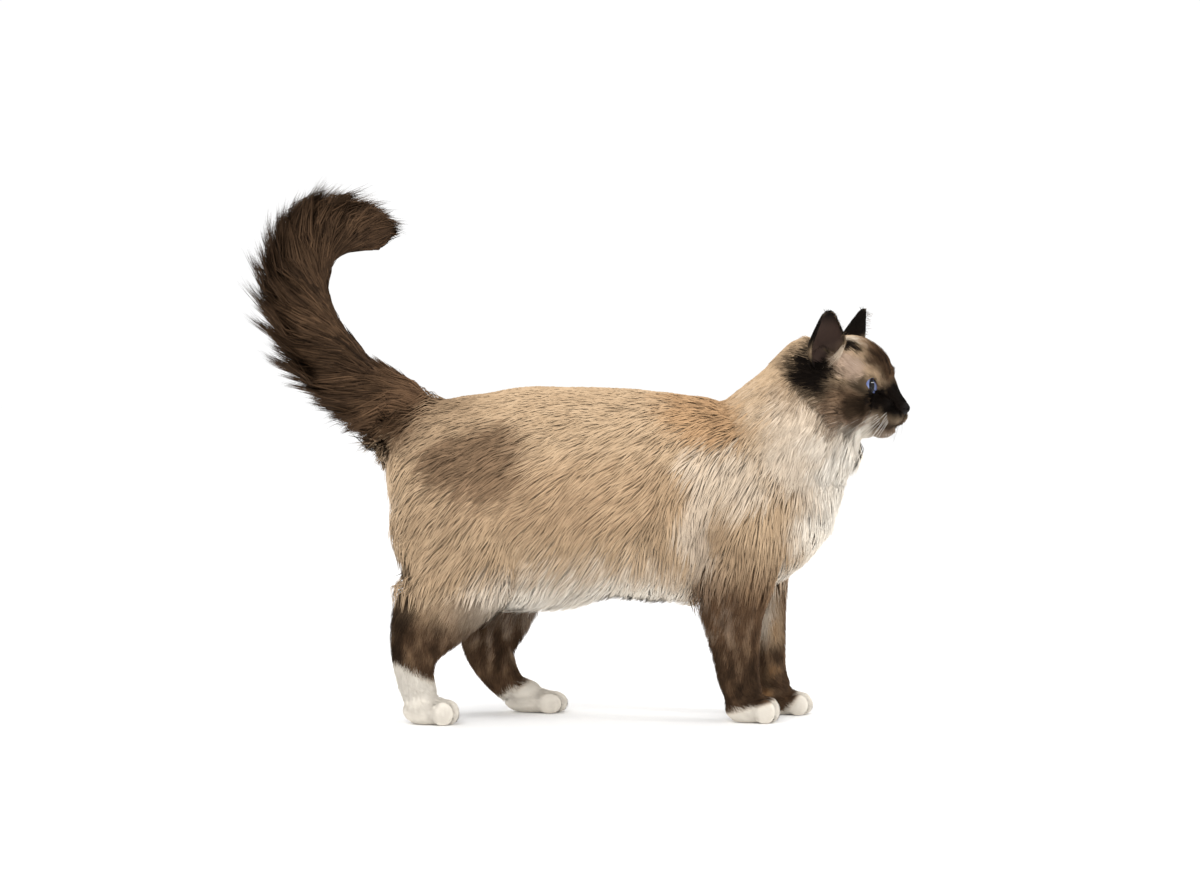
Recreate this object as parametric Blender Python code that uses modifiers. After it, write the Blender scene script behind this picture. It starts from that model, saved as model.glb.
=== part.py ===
"""A standing seal point Birman cat at life size, as a still museum model.

Metres, +Z up. +X is the way the body faces and +Y is the cat's left side. The origin is on the floor
below the middle of the cat. The flesh is lofted from oval stations, softened as one form, and the long
coat is laid on it as flat tapered locks. The whole is then parted into named pieces by thin cuts.
"""

import math
import random

import bmesh
import bpy
from mathutils import Matrix, Vector
from mathutils.bvhtree import BVHTree

# Driving dimensions, in metres. The withers stand 0.28 high, which sets every other height here.
MM = 0.001
GAP = 0.0003  # kept between two pieces that touch
SEED = 11

LEFT, RIGHT = 1, -1  # the sign of Y on each side of the cat
CORE_SHARE = 0.5  # how much of the coat's depth the core below the locks leaves free

# Torso stations: x, top and bottom of the coat, half width, and the coat's depth at side, back and belly.
TORSO = [
    (-0.168, 0.232, 0.190, 0.016, 0.006, 0.006, 0.008),
    (-0.163, 0.247, 0.170, 0.032, 0.012, 0.006, 0.018),
    (-0.148, 0.269, 0.144, 0.050, 0.016, 0.005, 0.026),
    (-0.118, 0.2765, 0.120, 0.064, 0.018, 0.004, 0.030),
    (-0.075, 0.2825, 0.099, 0.072, 0.018, 0.003, 0.034),
    (-0.030, 0.2845, 0.0930, 0.076, 0.018, 0.003, 0.038),
    (0.015, 0.2835, 0.0990, 0.077, 0.018, 0.003, 0.038),
    (0.055, 0.2805, 0.0990, 0.075, 0.018, 0.004, 0.034),
    (0.095, 0.2760, 0.0960, 0.071, 0.018, 0.005, 0.030),
    (0.130, 0.2685, 0.1000, 0.067, 0.020, 0.008, 0.026),
    (0.162, 0.2550, 0.1120, 0.061, 0.022, 0.012, 0.026),
    (0.190, 0.2320, 0.1310, 0.050, 0.024, 0.014, 0.026),
    (0.209, 0.2080, 0.1540, 0.033, 0.022, 0.014, 0.024),
]
# Neck stations: x and z of the middle, half width, reach to nape and throat, and the coat's depth at side,
# nape and throat.
NECK = [
    (0.120, 0.190, 0.060, 0.050, 0.085, 0.020, 0.008, 0.026),
    (0.142, 0.208, 0.061, 0.056, 0.087, 0.022, 0.007, 0.030),
    (0.166, 0.232, 0.059, 0.058, 0.077, 0.022, 0.006, 0.030),
    (0.190, 0.262, 0.054, 0.053, 0.061, 0.020, 0.005, 0.026),
    (0.204, 0.284, 0.045, 0.047, 0.048, 0.014, 0.004, 0.020),
    (0.211, 0.298, 0.038, 0.043, 0.036, 0.010, 0.004, 0.012),
    (0.217, 0.307, 0.030, 0.034, 0.030, 0.008, 0.004, 0.008),
]
# Limb stations: x, y off the middle plane, z, half width, reach forward and back, and the coat's depth at
# side, front and back.
FORELEG_RIGHT = [
    (0.138, 0.036, 0.195, 0.026, 0.036, 0.044, 0.012, 0.012, 0.014),
    (0.134, 0.041, 0.158, 0.027, 0.036, 0.044, 0.012, 0.012, 0.018),
    (0.128, 0.041, 0.122, 0.0235, 0.034, 0.036, 0.010, 0.008, 0.018),
    (0.127, 0.036, 0.090, 0.0190, 0.027, 0.028, 0.007, 0.006, 0.013),
    (0.130, 0.032, 0.060, 0.0160, 0.0215, 0.0220, 0.004, 0.004, 0.007),
    (0.134, 0.030, 0.036, 0.0145, 0.0175, 0.0180, 0.003, 0.003, 0.004),
    (0.140, 0.029, 0.018, 0.0135, 0.0150, 0.0160, 0.003, 0.003, 0.003),
]
FORELEG_LEFT = [
    (0.150, 0.036, 0.195, 0.026, 0.034, 0.040, 0.012, 0.012, 0.014),
    (0.152, 0.040, 0.158, 0.027, 0.031, 0.040, 0.012, 0.010, 0.018),
    (0.152, 0.039, 0.122, 0.0235, 0.026, 0.034, 0.010, 0.008, 0.016),
    (0.154, 0.034, 0.090, 0.0190, 0.0215, 0.026, 0.007, 0.006, 0.011),
    (0.157, 0.029, 0.060, 0.0160, 0.0180, 0.0215, 0.004, 0.004, 0.007),
    (0.161, 0.026, 0.036, 0.0145, 0.0160, 0.0175, 0.003, 0.003, 0.004),
    (0.169, 0.025, 0.018, 0.0135, 0.0150, 0.0160, 0.003, 0.003, 0.003),
]
HINDLEG_RIGHT = [
    (-0.110, 0.034, 0.226, 0.031, 0.046, 0.046, 0.014, 0.012, 0.022),
    (-0.108, 0.043, 0.192, 0.033, 0.054, 0.052, 0.016, 0.012, 0.026),
    (-0.105, 0.047, 0.156, 0.032, 0.053, 0.054, 0.016, 0.014, 0.028),
    (-0.108, 0.047, 0.122, 0.028, 0.050, 0.050, 0.014, 0.014, 0.026),
    (-0.119, 0.044, 0.092, 0.0220, 0.037, 0.041, 0.010, 0.012, 0.016),
    (-0.136, 0.042, 0.066, 0.0165, 0.024, 0.0255, 0.005, 0.006, 0.006),
    (-0.1405, 0.041, 0.044, 0.0140, 0.0170, 0.0190, 0.003, 0.003, 0.004),
    (-0.139, 0.040, 0.022, 0.0135, 0.0160, 0.0160, 0.003, 0.003, 0.003),
]
HINDLEG_LEFT = [
    (-0.090, 0.034, 0.226, 0.031, 0.046, 0.046, 0.014, 0.012, 0.022),
    (-0.076, 0.043, 0.188, 0.033, 0.054, 0.052, 0.016, 0.012, 0.026),
    (-0.064, 0.047, 0.150, 0.031, 0.046, 0.052, 0.016, 0.014, 0.026),
    (-0.064, 0.046, 0.116, 0.027, 0.036, 0.044, 0.014, 0.012, 0.022),
    (-0.074, 0.044, 0.086, 0.0215, 0.033, 0.034, 0.010, 0.010, 0.014),
    (-0.083, 0.042, 0.060, 0.0160, 0.024, 0.0235, 0.005, 0.006, 0.006),
    (-0.073, 0.040, 0.036, 0.0140, 0.0165, 0.0185, 0.003, 0.003, 0.004),
    (-0.058, 0.039, 0.018, 0.0135, 0.0150, 0.0150, 0.003, 0.003, 0.003),
]
# Tail stations along the bone: x, z, half width, reach to the outer and the inner side, and the coat's
# depth at side, outer side and inner side.
TAIL = [
    (-0.116, 0.242, 0.030, 0.034, 0.026, 0.018, 0.020, 0.012),
    (-0.138, 0.254, 0.030, 0.046, 0.025, 0.020, 0.034, 0.010),
    (-0.166, 0.279, 0.034, 0.057, 0.015, 0.025, 0.046, 0.004),
    (-0.193, 0.306, 0.036, 0.061, 0.0105, 0.027, 0.051, 0.002),
    (-0.2145, 0.335, 0.036, 0.062, 0.0100, 0.027, 0.053, 0.002),
    (-0.2250, 0.364, 0.035, 0.059, 0.0095, 0.027, 0.051, 0.002),
    (-0.2220, 0.391, 0.033, 0.054, 0.0100, 0.025, 0.046, 0.002),
    (-0.2070, 0.407, 0.029, 0.046, 0.0110, 0.022, 0.039, 0.002),
    (-0.1880, 0.411, 0.024, 0.033, 0.0115, 0.017, 0.027, 0.003),
    (-0.1710, 0.410, 0.015, 0.020, 0.009, 0.010, 0.015, 0.003),
    (-0.1630, 0.409, 0.007, 0.010, 0.006, 0.003, 0.006, 0.002),
]

# Forms that carry locks only: the back of the rump below the tail, and the cheeks, in the head's millimetres.
RUMP = [
    (-0.122, 0, 0.240, 0.046, 0.03, 0.036, 0.016, 0.01, 0.020),
    (-0.118, 0, 0.160, 0.050, 0.03, 0.048, 0.018, 0.01, 0.024),
]
CHEEKS = [(26, 0, -10, 42, 40, 40), (2, 0, -8, 44, 42, 42), (-26, 0, -6, 42, 42, 42)]
CHEEK_DEPTHS = (0.008, 0.006, 0.008)
# Paws: toe end's x, y off the middle plane, side, length, width and height.
PAWS = {
    "forepaw_right": (0.1675, 0.029, RIGHT, 0.046, 0.032, 0.024),
    "forepaw_left": (0.1985, 0.025, LEFT, 0.046, 0.032, 0.024),
    "hindpaw_right": (-0.1030, 0.041, RIGHT, 0.050, 0.032, 0.023),
    "hindpaw_left": (-0.0125, 0.038, LEFT, 0.054, 0.032, 0.023),
}

# The head is built in millimetres about its own middle, facing +X, and then turned and set in place.
HEAD_MIDDLE = (0.2260, 0.0, 0.2830)
HEAD_YAW = math.radians(-20)  # towards the cat's right
EYE_RADIUS = 10.5
EYE_CENTRE = (19.5, 17.8, 1.0)
EYE_GAZE_OUT = math.radians(19)
LID_THICKNESS = 1.8
EYE_OPENING = (17.5, 14.0)  # width and height between the lids
EAR_BASE, EAR_TIP = (-10, 31, 19), (-4.5, 51, 64.5)
EAR_FACING = math.radians(44)
EAR_WALL = 2.0
EAR_LIFT = 3.0  # how far the edges of the cup stand forward of its axis
POCKET_REACH = 9.0
# Stations up an ear: share of its height, half width, depth of the cup, shift towards its rear edge.
EAR = [
    (-0.08, 3.0, 3.0, 9.0),
    (0.02, 8.0, 7.0, 5.5),
    (0.16, 13.5, 11.0, 2.5),
    (0.32, 17.0, 12.5, 0.5),
    (0.48, 16.8, 11.0, 0.0),
    (0.72, 10.8, 7.0, 0.0),
    (0.90, 6.0, 3.5, 0.0),
    (1.00, 2.6, 1.0, 0.0),
]

for old in list(bpy.data.objects):
    bpy.data.objects.remove(old)
cat = bpy.data.collections.new("birman_cat")
workshop = bpy.data.collections.new("workshop")
bpy.context.scene.collection.children.link(cat)
bpy.context.scene.collection.children.link(workshop)


def add_mesh(name, bm, collection=workshop):
    """A new object from a bmesh, which is freed."""
    mesh = bpy.data.meshes.new(name)
    bm.to_mesh(mesh)
    bm.free()
    obj = bpy.data.objects.new(name, mesh)
    collection.objects.link(obj)
    return obj


def bake_modifiers(obj):
    """Replaces an object's mesh by what its modifiers make of it."""
    graph = bpy.context.evaluated_depsgraph_get()
    mesh = bpy.data.meshes.new_from_object(obj.evaluated_get(graph))
    obj.modifiers.clear()
    obj.data = mesh
    return obj


def ellipsoid(centre, radii, matrix=None, around=20, rings=14):
    """A stretched sphere, in the units of its numbers, placed by a matrix where one is given."""
    bm = bmesh.new()
    bmesh.ops.create_uvsphere(bm, u_segments=around, v_segments=rings, radius=1)
    place = Matrix.Translation(centre) @ Matrix.Diagonal((*radii, 1))
    bm.transform((matrix or Matrix()) @ place)
    return add_mesh("ellipsoid", bm)


def smooth_line(stations, steps):
    """Points on a smooth curve through rows of numbers, with so many steps between two rows."""
    rows = [Vector(row) for row in stations]
    rows = [rows[0] * 2 - rows[1], *rows, rows[-1] * 2 - rows[-2]]
    found = []
    for i in range(1, len(rows) - 2):
        a, b, c, d = rows[i - 1 : i + 3]
        for k in range(steps):
            t = k / steps
            bend = 2 * a - 5 * b + 4 * c - d
            found.append(0.5 * (2 * b + (c - a) * t + bend * t * t + (3 * b - a - 3 * c + d) * t**3))
    found.append(rows[-2])
    return found


def loft(rings):
    """A closed skin over rings of points, with a fan at either end."""
    bm = bmesh.new()
    made = [[bm.verts.new(point) for point in ring] for ring in rings]
    for first, second in zip(made, made[1:]):
        for i in range(len(first)):
            j = (i + 1) % len(first)
            bm.faces.new((first[i], first[j], second[j], second[i]))
    for ring, ends in ((made[0], rings[0]), (made[-1], rings[-1])):
        middle = bm.verts.new(sum(ends, Vector()) / len(ends))
        for i in range(len(ring)):
            bm.faces.new((ring[i], ring[(i + 1) % len(ring)], middle))
    bmesh.ops.recalc_face_normals(bm, faces=bm.faces)
    return add_mesh("loft", bm)


def oval_loft(rows, around=20):
    """A skin along a spine. Each row is a middle point, then a half width, a reach to the upper or forward
    side and a reach to the other, then the coat's depth at each of the three."""
    rings = []
    for i, row in enumerate(rows):
        before, after = rows[max(i - 1, 0)], rows[min(i + 1, len(rows) - 1)]
        along = (Vector(after[:3]) - Vector(before[:3])).normalized()
        side = (Vector((0, 1, 0)) - along * along.y).normalized()
        up = along.cross(side)
        width, reach_up, reach_down = (row[k] - row[k + 3] * CORE_SHARE for k in (3, 4, 5))
        ring = []
        for k in range(around):
            angle = 2 * math.pi * k / around
            reach = reach_up if math.sin(angle) > 0 else reach_down
            ring.append(Vector(row[:3]) + side * width * math.cos(angle) + up * reach * math.sin(angle))
        rings.append(ring)
    return loft(rings)


def fuse(pieces, name, voxel, smoothing, triangles):
    """One soft closed form from overlapping pieces, with about so many triangles."""
    bm = bmesh.new()
    for piece in pieces:
        bm.from_mesh(piece.data)
        bpy.data.objects.remove(piece)
    obj = add_mesh(name, bm)
    remesh = obj.modifiers.new("fuse", "REMESH")
    remesh.mode = "VOXEL"
    remesh.voxel_size = voxel
    relax = obj.modifiers.new("soften", "SMOOTH")
    relax.factor = 0.5
    relax.iterations = smoothing
    bake_modifiers(obj)
    thin = obj.modifiers.new("thin", "DECIMATE")
    thin.use_collapse_triangulate = True
    thin.ratio = triangles / (2 * len(obj.data.polygons))
    return bake_modifiers(obj)


def largest_surface(obj):
    """Keeps the part of a mesh that is one closed surface and holds the most."""
    bm = bmesh.new()
    bm.from_mesh(obj.data)
    bmesh.ops.triangulate(bm, faces=bm.faces)
    left = set(bm.faces)
    best, best_volume = [], 0
    while left:
        stack = [left.pop()]
        island = list(stack)
        while stack:
            for edge in stack.pop().edges:
                for face in edge.link_faces:
                    if face in left:
                        left.remove(face)
                        stack.append(face)
                        island.append(face)
        volume = sum(f.verts[0].co.dot(f.verts[1].co.cross(f.verts[2].co)) for f in island) / 6
        if volume > best_volume:
            best, best_volume = island, volume
    kept = set(best)
    dropped = [face for face in bm.faces if face not in kept]
    bmesh.ops.delete(bm, geom=dropped, context="FACES")
    bm.to_mesh(obj.data)
    bm.free()
    return obj


def boolean(obj, operation, others):
    """Joins others to an object, or cuts it by them, and removes them."""
    helpers = bpy.data.collections.new("operands")
    bpy.context.scene.collection.children.link(helpers)
    for other in others:
        helpers.objects.link(other)
        workshop.objects.unlink(other)
    step = obj.modifiers.new(operation.lower(), "BOOLEAN")
    step.operation = operation
    step.operand_type = "COLLECTION"
    step.collection = helpers
    step.solver = "MANIFOLD"
    bake_modifiers(obj)
    for other in others:
        bpy.data.objects.remove(other)
    bpy.data.collections.remove(helpers)
    return obj


TELL_APART = 3e-7  # points closer than this count as one
ATTEMPTS = 12
STRETCH_STEP = 0.0015


def touches_itself(obj):
    """Whether two sheets of a mesh meet along an edge, or lie closer than its points can tell apart."""
    bm = bmesh.new()
    bm.from_mesh(obj.data)
    bmesh.ops.remove_doubles(bm, verts=bm.verts, dist=TELL_APART)
    found = any(len(edge.link_faces) != 2 for edge in bm.edges)
    bm.free()
    return found


def sound_boolean(obj, operation, make_others):
    """Joins to an object, or cuts from it, what a function makes for a stretch. The stretch grows by a few
    thousandths for as long as the result touches itself along an edge."""
    whole = obj.data
    for attempt in range(ATTEMPTS):
        obj.data = whole.copy()
        boolean(obj, operation, make_others(1 + STRETCH_STEP * attempt))
        largest_surface(obj)
        if not touches_itself(obj):
            break
    return obj


def copy_of(obj, name):
    """A second object with its own copy of the mesh."""
    twin = bpy.data.objects.new(name, obj.data.copy())
    workshop.objects.link(twin)
    return twin


def slab(centre, axes, sizes):
    """A box about a centre, whose three axes and full sizes are given."""
    bm = bmesh.new()
    bmesh.ops.create_cube(bm, size=1)
    turn = Matrix([Vector(axis).normalized() for axis in axes]).transposed().to_4x4()
    bm.transform(Matrix.Translation(centre) @ turn @ Matrix.Diagonal((*sizes, 1)))
    return add_mesh("slab", bm)


def limb_rows(stations, sign, steps=3):
    """A limb's stations as rows for oval_loft, on one side of the cat."""
    return smooth_line([(row[0], row[1] * sign, *row[2:]) for row in stations], steps)


def torso_rows():
    """The torso's stations as rows for oval_loft."""
    rows = []
    for x, top, bottom, width, *depths in TORSO:
        middle = bottom + 0.52 * (top - bottom)
        rows.append((x, 0, middle, width, top - middle, middle - bottom, *depths))
    return smooth_line(rows, 3)


def neck_rows():
    """The neck's stations as rows for oval_loft."""
    return smooth_line([(row[0], 0, *row[1:]) for row in NECK], 3)


def tail_rows():
    """The tail's stations as rows for oval_loft."""
    return smooth_line([(row[0], 0, *row[1:]) for row in TAIL], 3)


def body_core():
    """Torso, neck, legs and tail without the locks, as one soft form."""
    pieces = [
        oval_loft(torso_rows(), 28),
        oval_loft(neck_rows(), 24),
        oval_loft(tail_rows()),
        oval_loft(limb_rows(FORELEG_RIGHT, RIGHT)),
        oval_loft(limb_rows(FORELEG_LEFT, LEFT)),
        oval_loft(limb_rows(HINDLEG_RIGHT, RIGHT)),
        oval_loft(limb_rows(HINDLEG_LEFT, LEFT)),
    ]
    return fuse(pieces, "body", 0.0028, 6, 1500)


def paw(toe_x, off_middle, sign, length, width, height):
    """A paw with four toes, whose sole the floor cut makes flat."""
    y = off_middle * sign
    heel = toe_x - length
    pieces = [
        ellipsoid((heel + 0.46 * length, y, 0.46 * height), (0.50 * length, 0.44 * width, 0.58 * height)),
        ellipsoid((heel + 0.30 * length, y, 0.90 * height), (0.34 * length, 0.43 * width, 0.60 * height)),
    ]
    for angle in (-48, -17, 17, 48):
        turn = math.radians(angle)
        x = heel + (0.50 + 0.33 * math.cos(turn)) * length
        toe = (x, y + 0.54 * width * math.sin(turn), 0.40 * height)
        pieces.append(ellipsoid(toe, (0.20 * length, 0.155 * width, 0.46 * height), None, 12, 10))
    return fuse(pieces, "paw", 0.0012, 2, 190)


def head_matrix():
    """Takes the head's own millimetres to the cat's frame."""
    turn = Matrix.Rotation(HEAD_YAW, 4, "Z")
    return Matrix.Translation(HEAD_MIDDLE) @ turn @ Matrix.Scale(MM, 4)


def head_form():
    """The head without ears, in one soft form with a swelling for the lids round each eye."""
    place = head_matrix()
    forms = [
        ((-7, 0, 4), (42, 37, 38)),
        ((2, 0, 4), (38, 30, 39)),
        ((20, 0, 14), (21.5, 17, 9.5)),
        ((8, 0, -24), (33, 24, 21.5)),
        ((30, 0, -35.5), (12.5, 11, 9)),
        ((33, 0, -20), (19, 11, 13)),
        ((48, 0, -18), (6.5, 7.5, 5.5)),
    ]
    for sign in (LEFT, RIGHT):
        forms.append(((2, 22 * sign, -14), (28, 20, 25)))
        forms.append(((35, 8.5 * sign, -25), (16, 11, 10)))
        forms.append(((24, 11 * sign, -16), (20, 12, 12)))
        forms.append(((17, 15 * sign, 11), (18, 12, 13)))
        forms.append(((-14, 30 * sign, 15), (15, 14, 15)))
        x, y, z = EYE_CENTRE
        lid = EYE_RADIUS + LID_THICKNESS
        forms.append(((x, y * sign, z), (lid, lid, lid)))
    pieces = [ellipsoid(centre, radii, place) for centre, radii in forms]
    bridge = [
        (27, 0, 14, 12, 8, 10),
        (34, 0, 5, 9.5, 7.5, 10),
        (39, 0, -5, 8.5, 5.8, 10),
        (45, 0, -12.5, 7.5, 4.6, 8),
        (50, 0, -17, 6.5, 4.2, 6),
    ]
    nose = oval_loft(smooth_line([(*row, 0, 0, 0) for row in bridge], 3), 14)
    nose.data.transform(place)
    pieces.append(nose)
    return fuse(pieces, "head", 0.0016, 5, 1600)


def gaze(sign):
    """The way an eye looks, in the head's own frame, and the way across the eye."""
    forward = Vector((math.cos(EYE_GAZE_OUT), sign * math.sin(EYE_GAZE_OUT), 0.05)).normalized()
    across = Vector((0, 0, 1)).cross(forward).normalized()
    return forward, across


def eye_centre(sign):
    x, y, z = EYE_CENTRE
    return Vector((x, y * sign, z))


def cut_eyes(head):
    """Hollows a socket for each eyeball and opens the almond between its lids."""
    place = head_matrix()
    cutters = []
    for sign in (LEFT, RIGHT):
        socket = EYE_RADIUS * 1.035 + GAP / MM
        cutters.append(ellipsoid(eye_centre(sign), (socket,) * 3, place, 12, 8))
        forward, across = gaze(sign)
        up = forward.cross(across)
        width, height = EYE_OPENING
        almond = []
        for reach in (2.0, 20.0):
            ring = []
            for k in range(12):
                angle = 2 * math.pi * k / 12
                slant = across * sign * 0.10 * width * math.sin(angle)
                side = across * (width / 2) * math.cos(angle)
                lift = up * (height / 2) * math.sin(angle) * (1 - 0.25 * abs(math.cos(angle)))
                ring.append(place @ (eye_centre(sign) + forward * reach + side + lift + slant))
            almond.append(ring)
        cutters.append(loft(almond))
    boolean(head, "DIFFERENCE", cutters)


def surface_of(obj):
    """A search tree over an object's own mesh."""
    bm = bmesh.new()
    bm.from_mesh(obj.data)
    tree = BVHTree.FromBMesh(bm)
    bm.free()
    return tree


def tube(points, radius):
    """A round rod along a line of points, made a closed mesh."""
    curve = bpy.data.curves.new("rod", "CURVE")
    curve.dimensions = "3D"
    curve.bevel_depth = radius
    curve.bevel_resolution = 0
    curve.use_fill_caps = True
    spline = curve.splines.new("POLY")
    spline.points.add(len(points) - 1)
    for spot, point in zip(spline.points, points):
        spot.co = (*point, 1)
    rod = bpy.data.objects.new("rod", curve)
    workshop.objects.link(rod)
    graph = bpy.context.evaluated_depsgraph_get()
    mesh = bpy.data.meshes.new_from_object(rod.evaluated_get(graph))
    bpy.data.objects.remove(rod)
    bm = bmesh.new()
    bm.from_mesh(mesh)
    bmesh.ops.remove_doubles(bm, verts=bm.verts, dist=1e-6)
    bmesh.ops.recalc_face_normals(bm, faces=bm.faces)
    return add_mesh("rod", bm)


def cut_mouth(head):
    """Cuts the line of the mouth, the cleft below the nose and the two nostrils."""
    place = head_matrix()
    tree = surface_of(head)

    def touch(x, y, z):
        return tree.find_nearest(place @ Vector((x, y, z)))[0]

    lips = [(24, 22, -29), (32, 19, -32.5), (40, 14, -34), (46, 7.5, -32.5), (50, 0, -30)]
    line = [touch(x, -y, z) for x, y, z in lips] + [touch(*spot) for spot in reversed(lips[:-1])]
    cleft = [touch(50, 0, -30.5), touch(52, 0, -26), touch(54, 0, -22)]
    cutters = [tube(line, 0.8 * MM), tube(cleft, 0.6 * MM)]
    for sign in (LEFT, RIGHT):
        nostril = touch(54, 3.6 * sign, -17)
        outward = touch(50, 7.0 * sign, -16.5)
        cutters.append(ellipsoid(nostril, (2.2 * MM, 1.5 * MM, 1.4 * MM), None, 10, 8))
        cutters.append(tube([nostril, (nostril + outward) / 2, outward], 0.6 * MM))
    for cutter in cutters:
        boolean(head, "DIFFERENCE", [cutter])


def ear_spot(sign, row, share):
    """A place on an ear's middle sheet, at a station and a share of the way from its rear edge, -1, to its
    front edge, 1."""
    rise, half, cup, shift = row
    base, tip = (Vector((x, y * sign, z)) for x, y, z in (EAR_BASE, EAR_TIP))
    opening, forward = ear_ways(sign)
    spot = base + (tip - base) * rise + forward * (half * math.sin(share * math.pi / 2) - shift)
    return spot - opening * (cup * math.cos(share * math.pi / 2) - EAR_LIFT)


def ear_ways(sign):
    """The way an ear opens, and the way across it to its front edge."""
    base, tip = (Vector((x, y * sign, z)) for x, y, z in (EAR_BASE, EAR_TIP))
    up = (tip - base).normalized()
    opening = Vector((math.cos(EAR_FACING), math.sin(EAR_FACING) * sign, 0))
    opening = (opening - up * opening.dot(up)).normalized()
    return opening, up.cross(opening) * -sign


def ear_shares(columns):
    """Even shares of the way across an ear."""
    return [2 * k / (columns - 1) - 1 for k in range(columns)]


def ear(sign, grow):
    """A cupped ear, thin, open forward and outward, with a rounded tip, rooted in the head. Growth is what
    each of its faces moves out by."""
    place = head_matrix()
    bm = bmesh.new()
    grid = []
    for row in EAR:
        grid.append([bm.verts.new(place @ ear_spot(sign, row, share)) for share in ear_shares(8)])
    for low, high in zip(grid, grid[1:]):
        for k in range(len(low) - 1):
            bm.faces.new((low[k], low[k + 1], high[k + 1], high[k]))
    shell = add_mesh("ear", bm)
    wall = shell.modifiers.new("wall", "SOLIDIFY")
    wall.thickness = EAR_WALL * MM
    wall.offset = 0
    bake_modifiers(shell)
    bm = bmesh.new()
    bm.from_mesh(shell.data)
    bmesh.ops.recalc_face_normals(bm, faces=bm.faces)
    bm.normal_update()
    for vert in bm.verts:
        vert.co += vert.normal * grow * 1.5
    bm.to_mesh(shell.data)
    bm.free()
    return shell


def ear_pocket(sign):
    """What is cut from the head in front of an ear, so that its cup runs down into the head."""
    place = head_matrix()
    opening, _ = ear_ways(sign)
    rings = []
    for row in EAR[:6]:
        ring = [ear_spot(sign, row, share) for share in ear_shares(8)]
        ring += [ring[-1] + opening * POCKET_REACH, ring[0] + opening * POCKET_REACH]
        rings.append([place @ spot for spot in ring])
    return loft(rings)


def eyeball(sign):
    """An eyeball, turned the way it looks."""
    forward, across = gaze(sign)
    turn = Matrix([forward, across, forward.cross(across)]).transposed().to_4x4()
    place = head_matrix() @ Matrix.Translation(eye_centre(sign)) @ turn @ Matrix.Rotation(math.pi / 2, 4, "Y")
    return ellipsoid((0, 0, 0), (EYE_RADIUS,) * 3, place, 14, 8)


def half_space(point, normal, grow):
    """A large box that fills the side of a plane to which its normal points."""
    normal = Vector(normal).normalized()
    side = Vector((0, 1, 0)).cross(normal).normalized()
    reach = 0.4
    return slab(Vector(point) + normal * (reach / 2 - grow), (normal, side.cross(normal), side), (reach,) * 3)


def haunch(outline, sign, tilt, start, grow):
    """A prism over one side of the cat, inside an outline in the XZ plane. Its inner face leans outward
    with height, and all its faces move out by the same growth."""
    count = len(outline)
    rings = []
    for outer in (False, True):
        ring = []
        for i, (x, z) in enumerate(outline):
            back = Vector(outline[i - 1])
            ahead = Vector(outline[(i + 1) % count])
            run = (ahead - back).normalized()
            spot = Vector((x, z)) + Vector((-run.y, run.x)) * grow
            y = 0.14 if outer else start + tilt * spot.y - grow * math.sqrt(1 + tilt * tilt)
            ring.append(Vector((spot.x, y * sign, spot.y)))
        rings.append(ring)
    return loft(rings)


def part_off(rest, name, region):
    """Takes the part of a solid that is in a region away from it as a new piece, with a gap between."""
    piece = copy_of(rest, name)
    boolean(piece, "INTERSECT", [region(0)])
    boolean(rest, "DIFFERENCE", [region(GAP)])
    largest_surface(rest)
    return largest_surface(piece)


# Where the body is parted: a point and the normal of each plane, on the side of the piece that it frees.
HEAD_PLANE = ((0.2053, 0.0, 0.2775), (0.766, -0.135, 0.628))
NECK_PLANE = ((0.1725, 0.0, 0.2250), (0.774, 0.0, 0.633))
TAIL_PLANES = {
    "tail_base": ((-0.1450, 0.0, 0.2500), (-0.80, 0.0, 0.60)),
    "tail_middle": ((-0.1790, 0.0, 0.2920), (-0.69, 0.0, 0.72)),
    "tail_upper": ((-0.2170, 0.0, 0.3480), (-0.31, 0.0, 0.95)),
    "tail_tip": ((-0.2130, 0.0, 0.3970), (0.66, 0.0, 0.75)),
}
# The outline in the XZ plane of the thigh and of the shoulder of the right legs, going up the back edge.
THIGH = [
    (-0.200, -0.02), (-0.200, 0.120), (-0.186, 0.160), (-0.166, 0.186), (-0.146, 0.206), (-0.122, 0.218),
    (-0.098, 0.219), (-0.076, 0.209), (-0.061, 0.190), (-0.053, 0.165), (-0.051, 0.138), (-0.052, 0.110),
    (-0.052, -0.02),
]  # fmt: skip
SHOULDER = [
    (0.078, -0.02), (0.078, 0.105), (0.083, 0.140), (0.090, 0.172), (0.101, 0.197), (0.119, 0.211),
    (0.139, 0.211), (0.157, 0.198), (0.168, 0.176), (0.173, 0.150), (0.174, 0.120), (0.172, 0.095),
    (0.172, -0.02),
]  # fmt: skip
LEGS = {
    "hindleg_right": (THIGH, RIGHT, 0.0, 0.27, -0.013),
    "hindleg_left": (THIGH, LEFT, 0.040, 0.27, -0.013),
    "foreleg_right": (SHOULDER, RIGHT, 0.0, 0.23, -0.008),
    "foreleg_left": (SHOULDER, LEFT, 0.021, 0.23, -0.008),
}
WRIST = 0.0205  # the height at which each paw is parted from its leg


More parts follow.
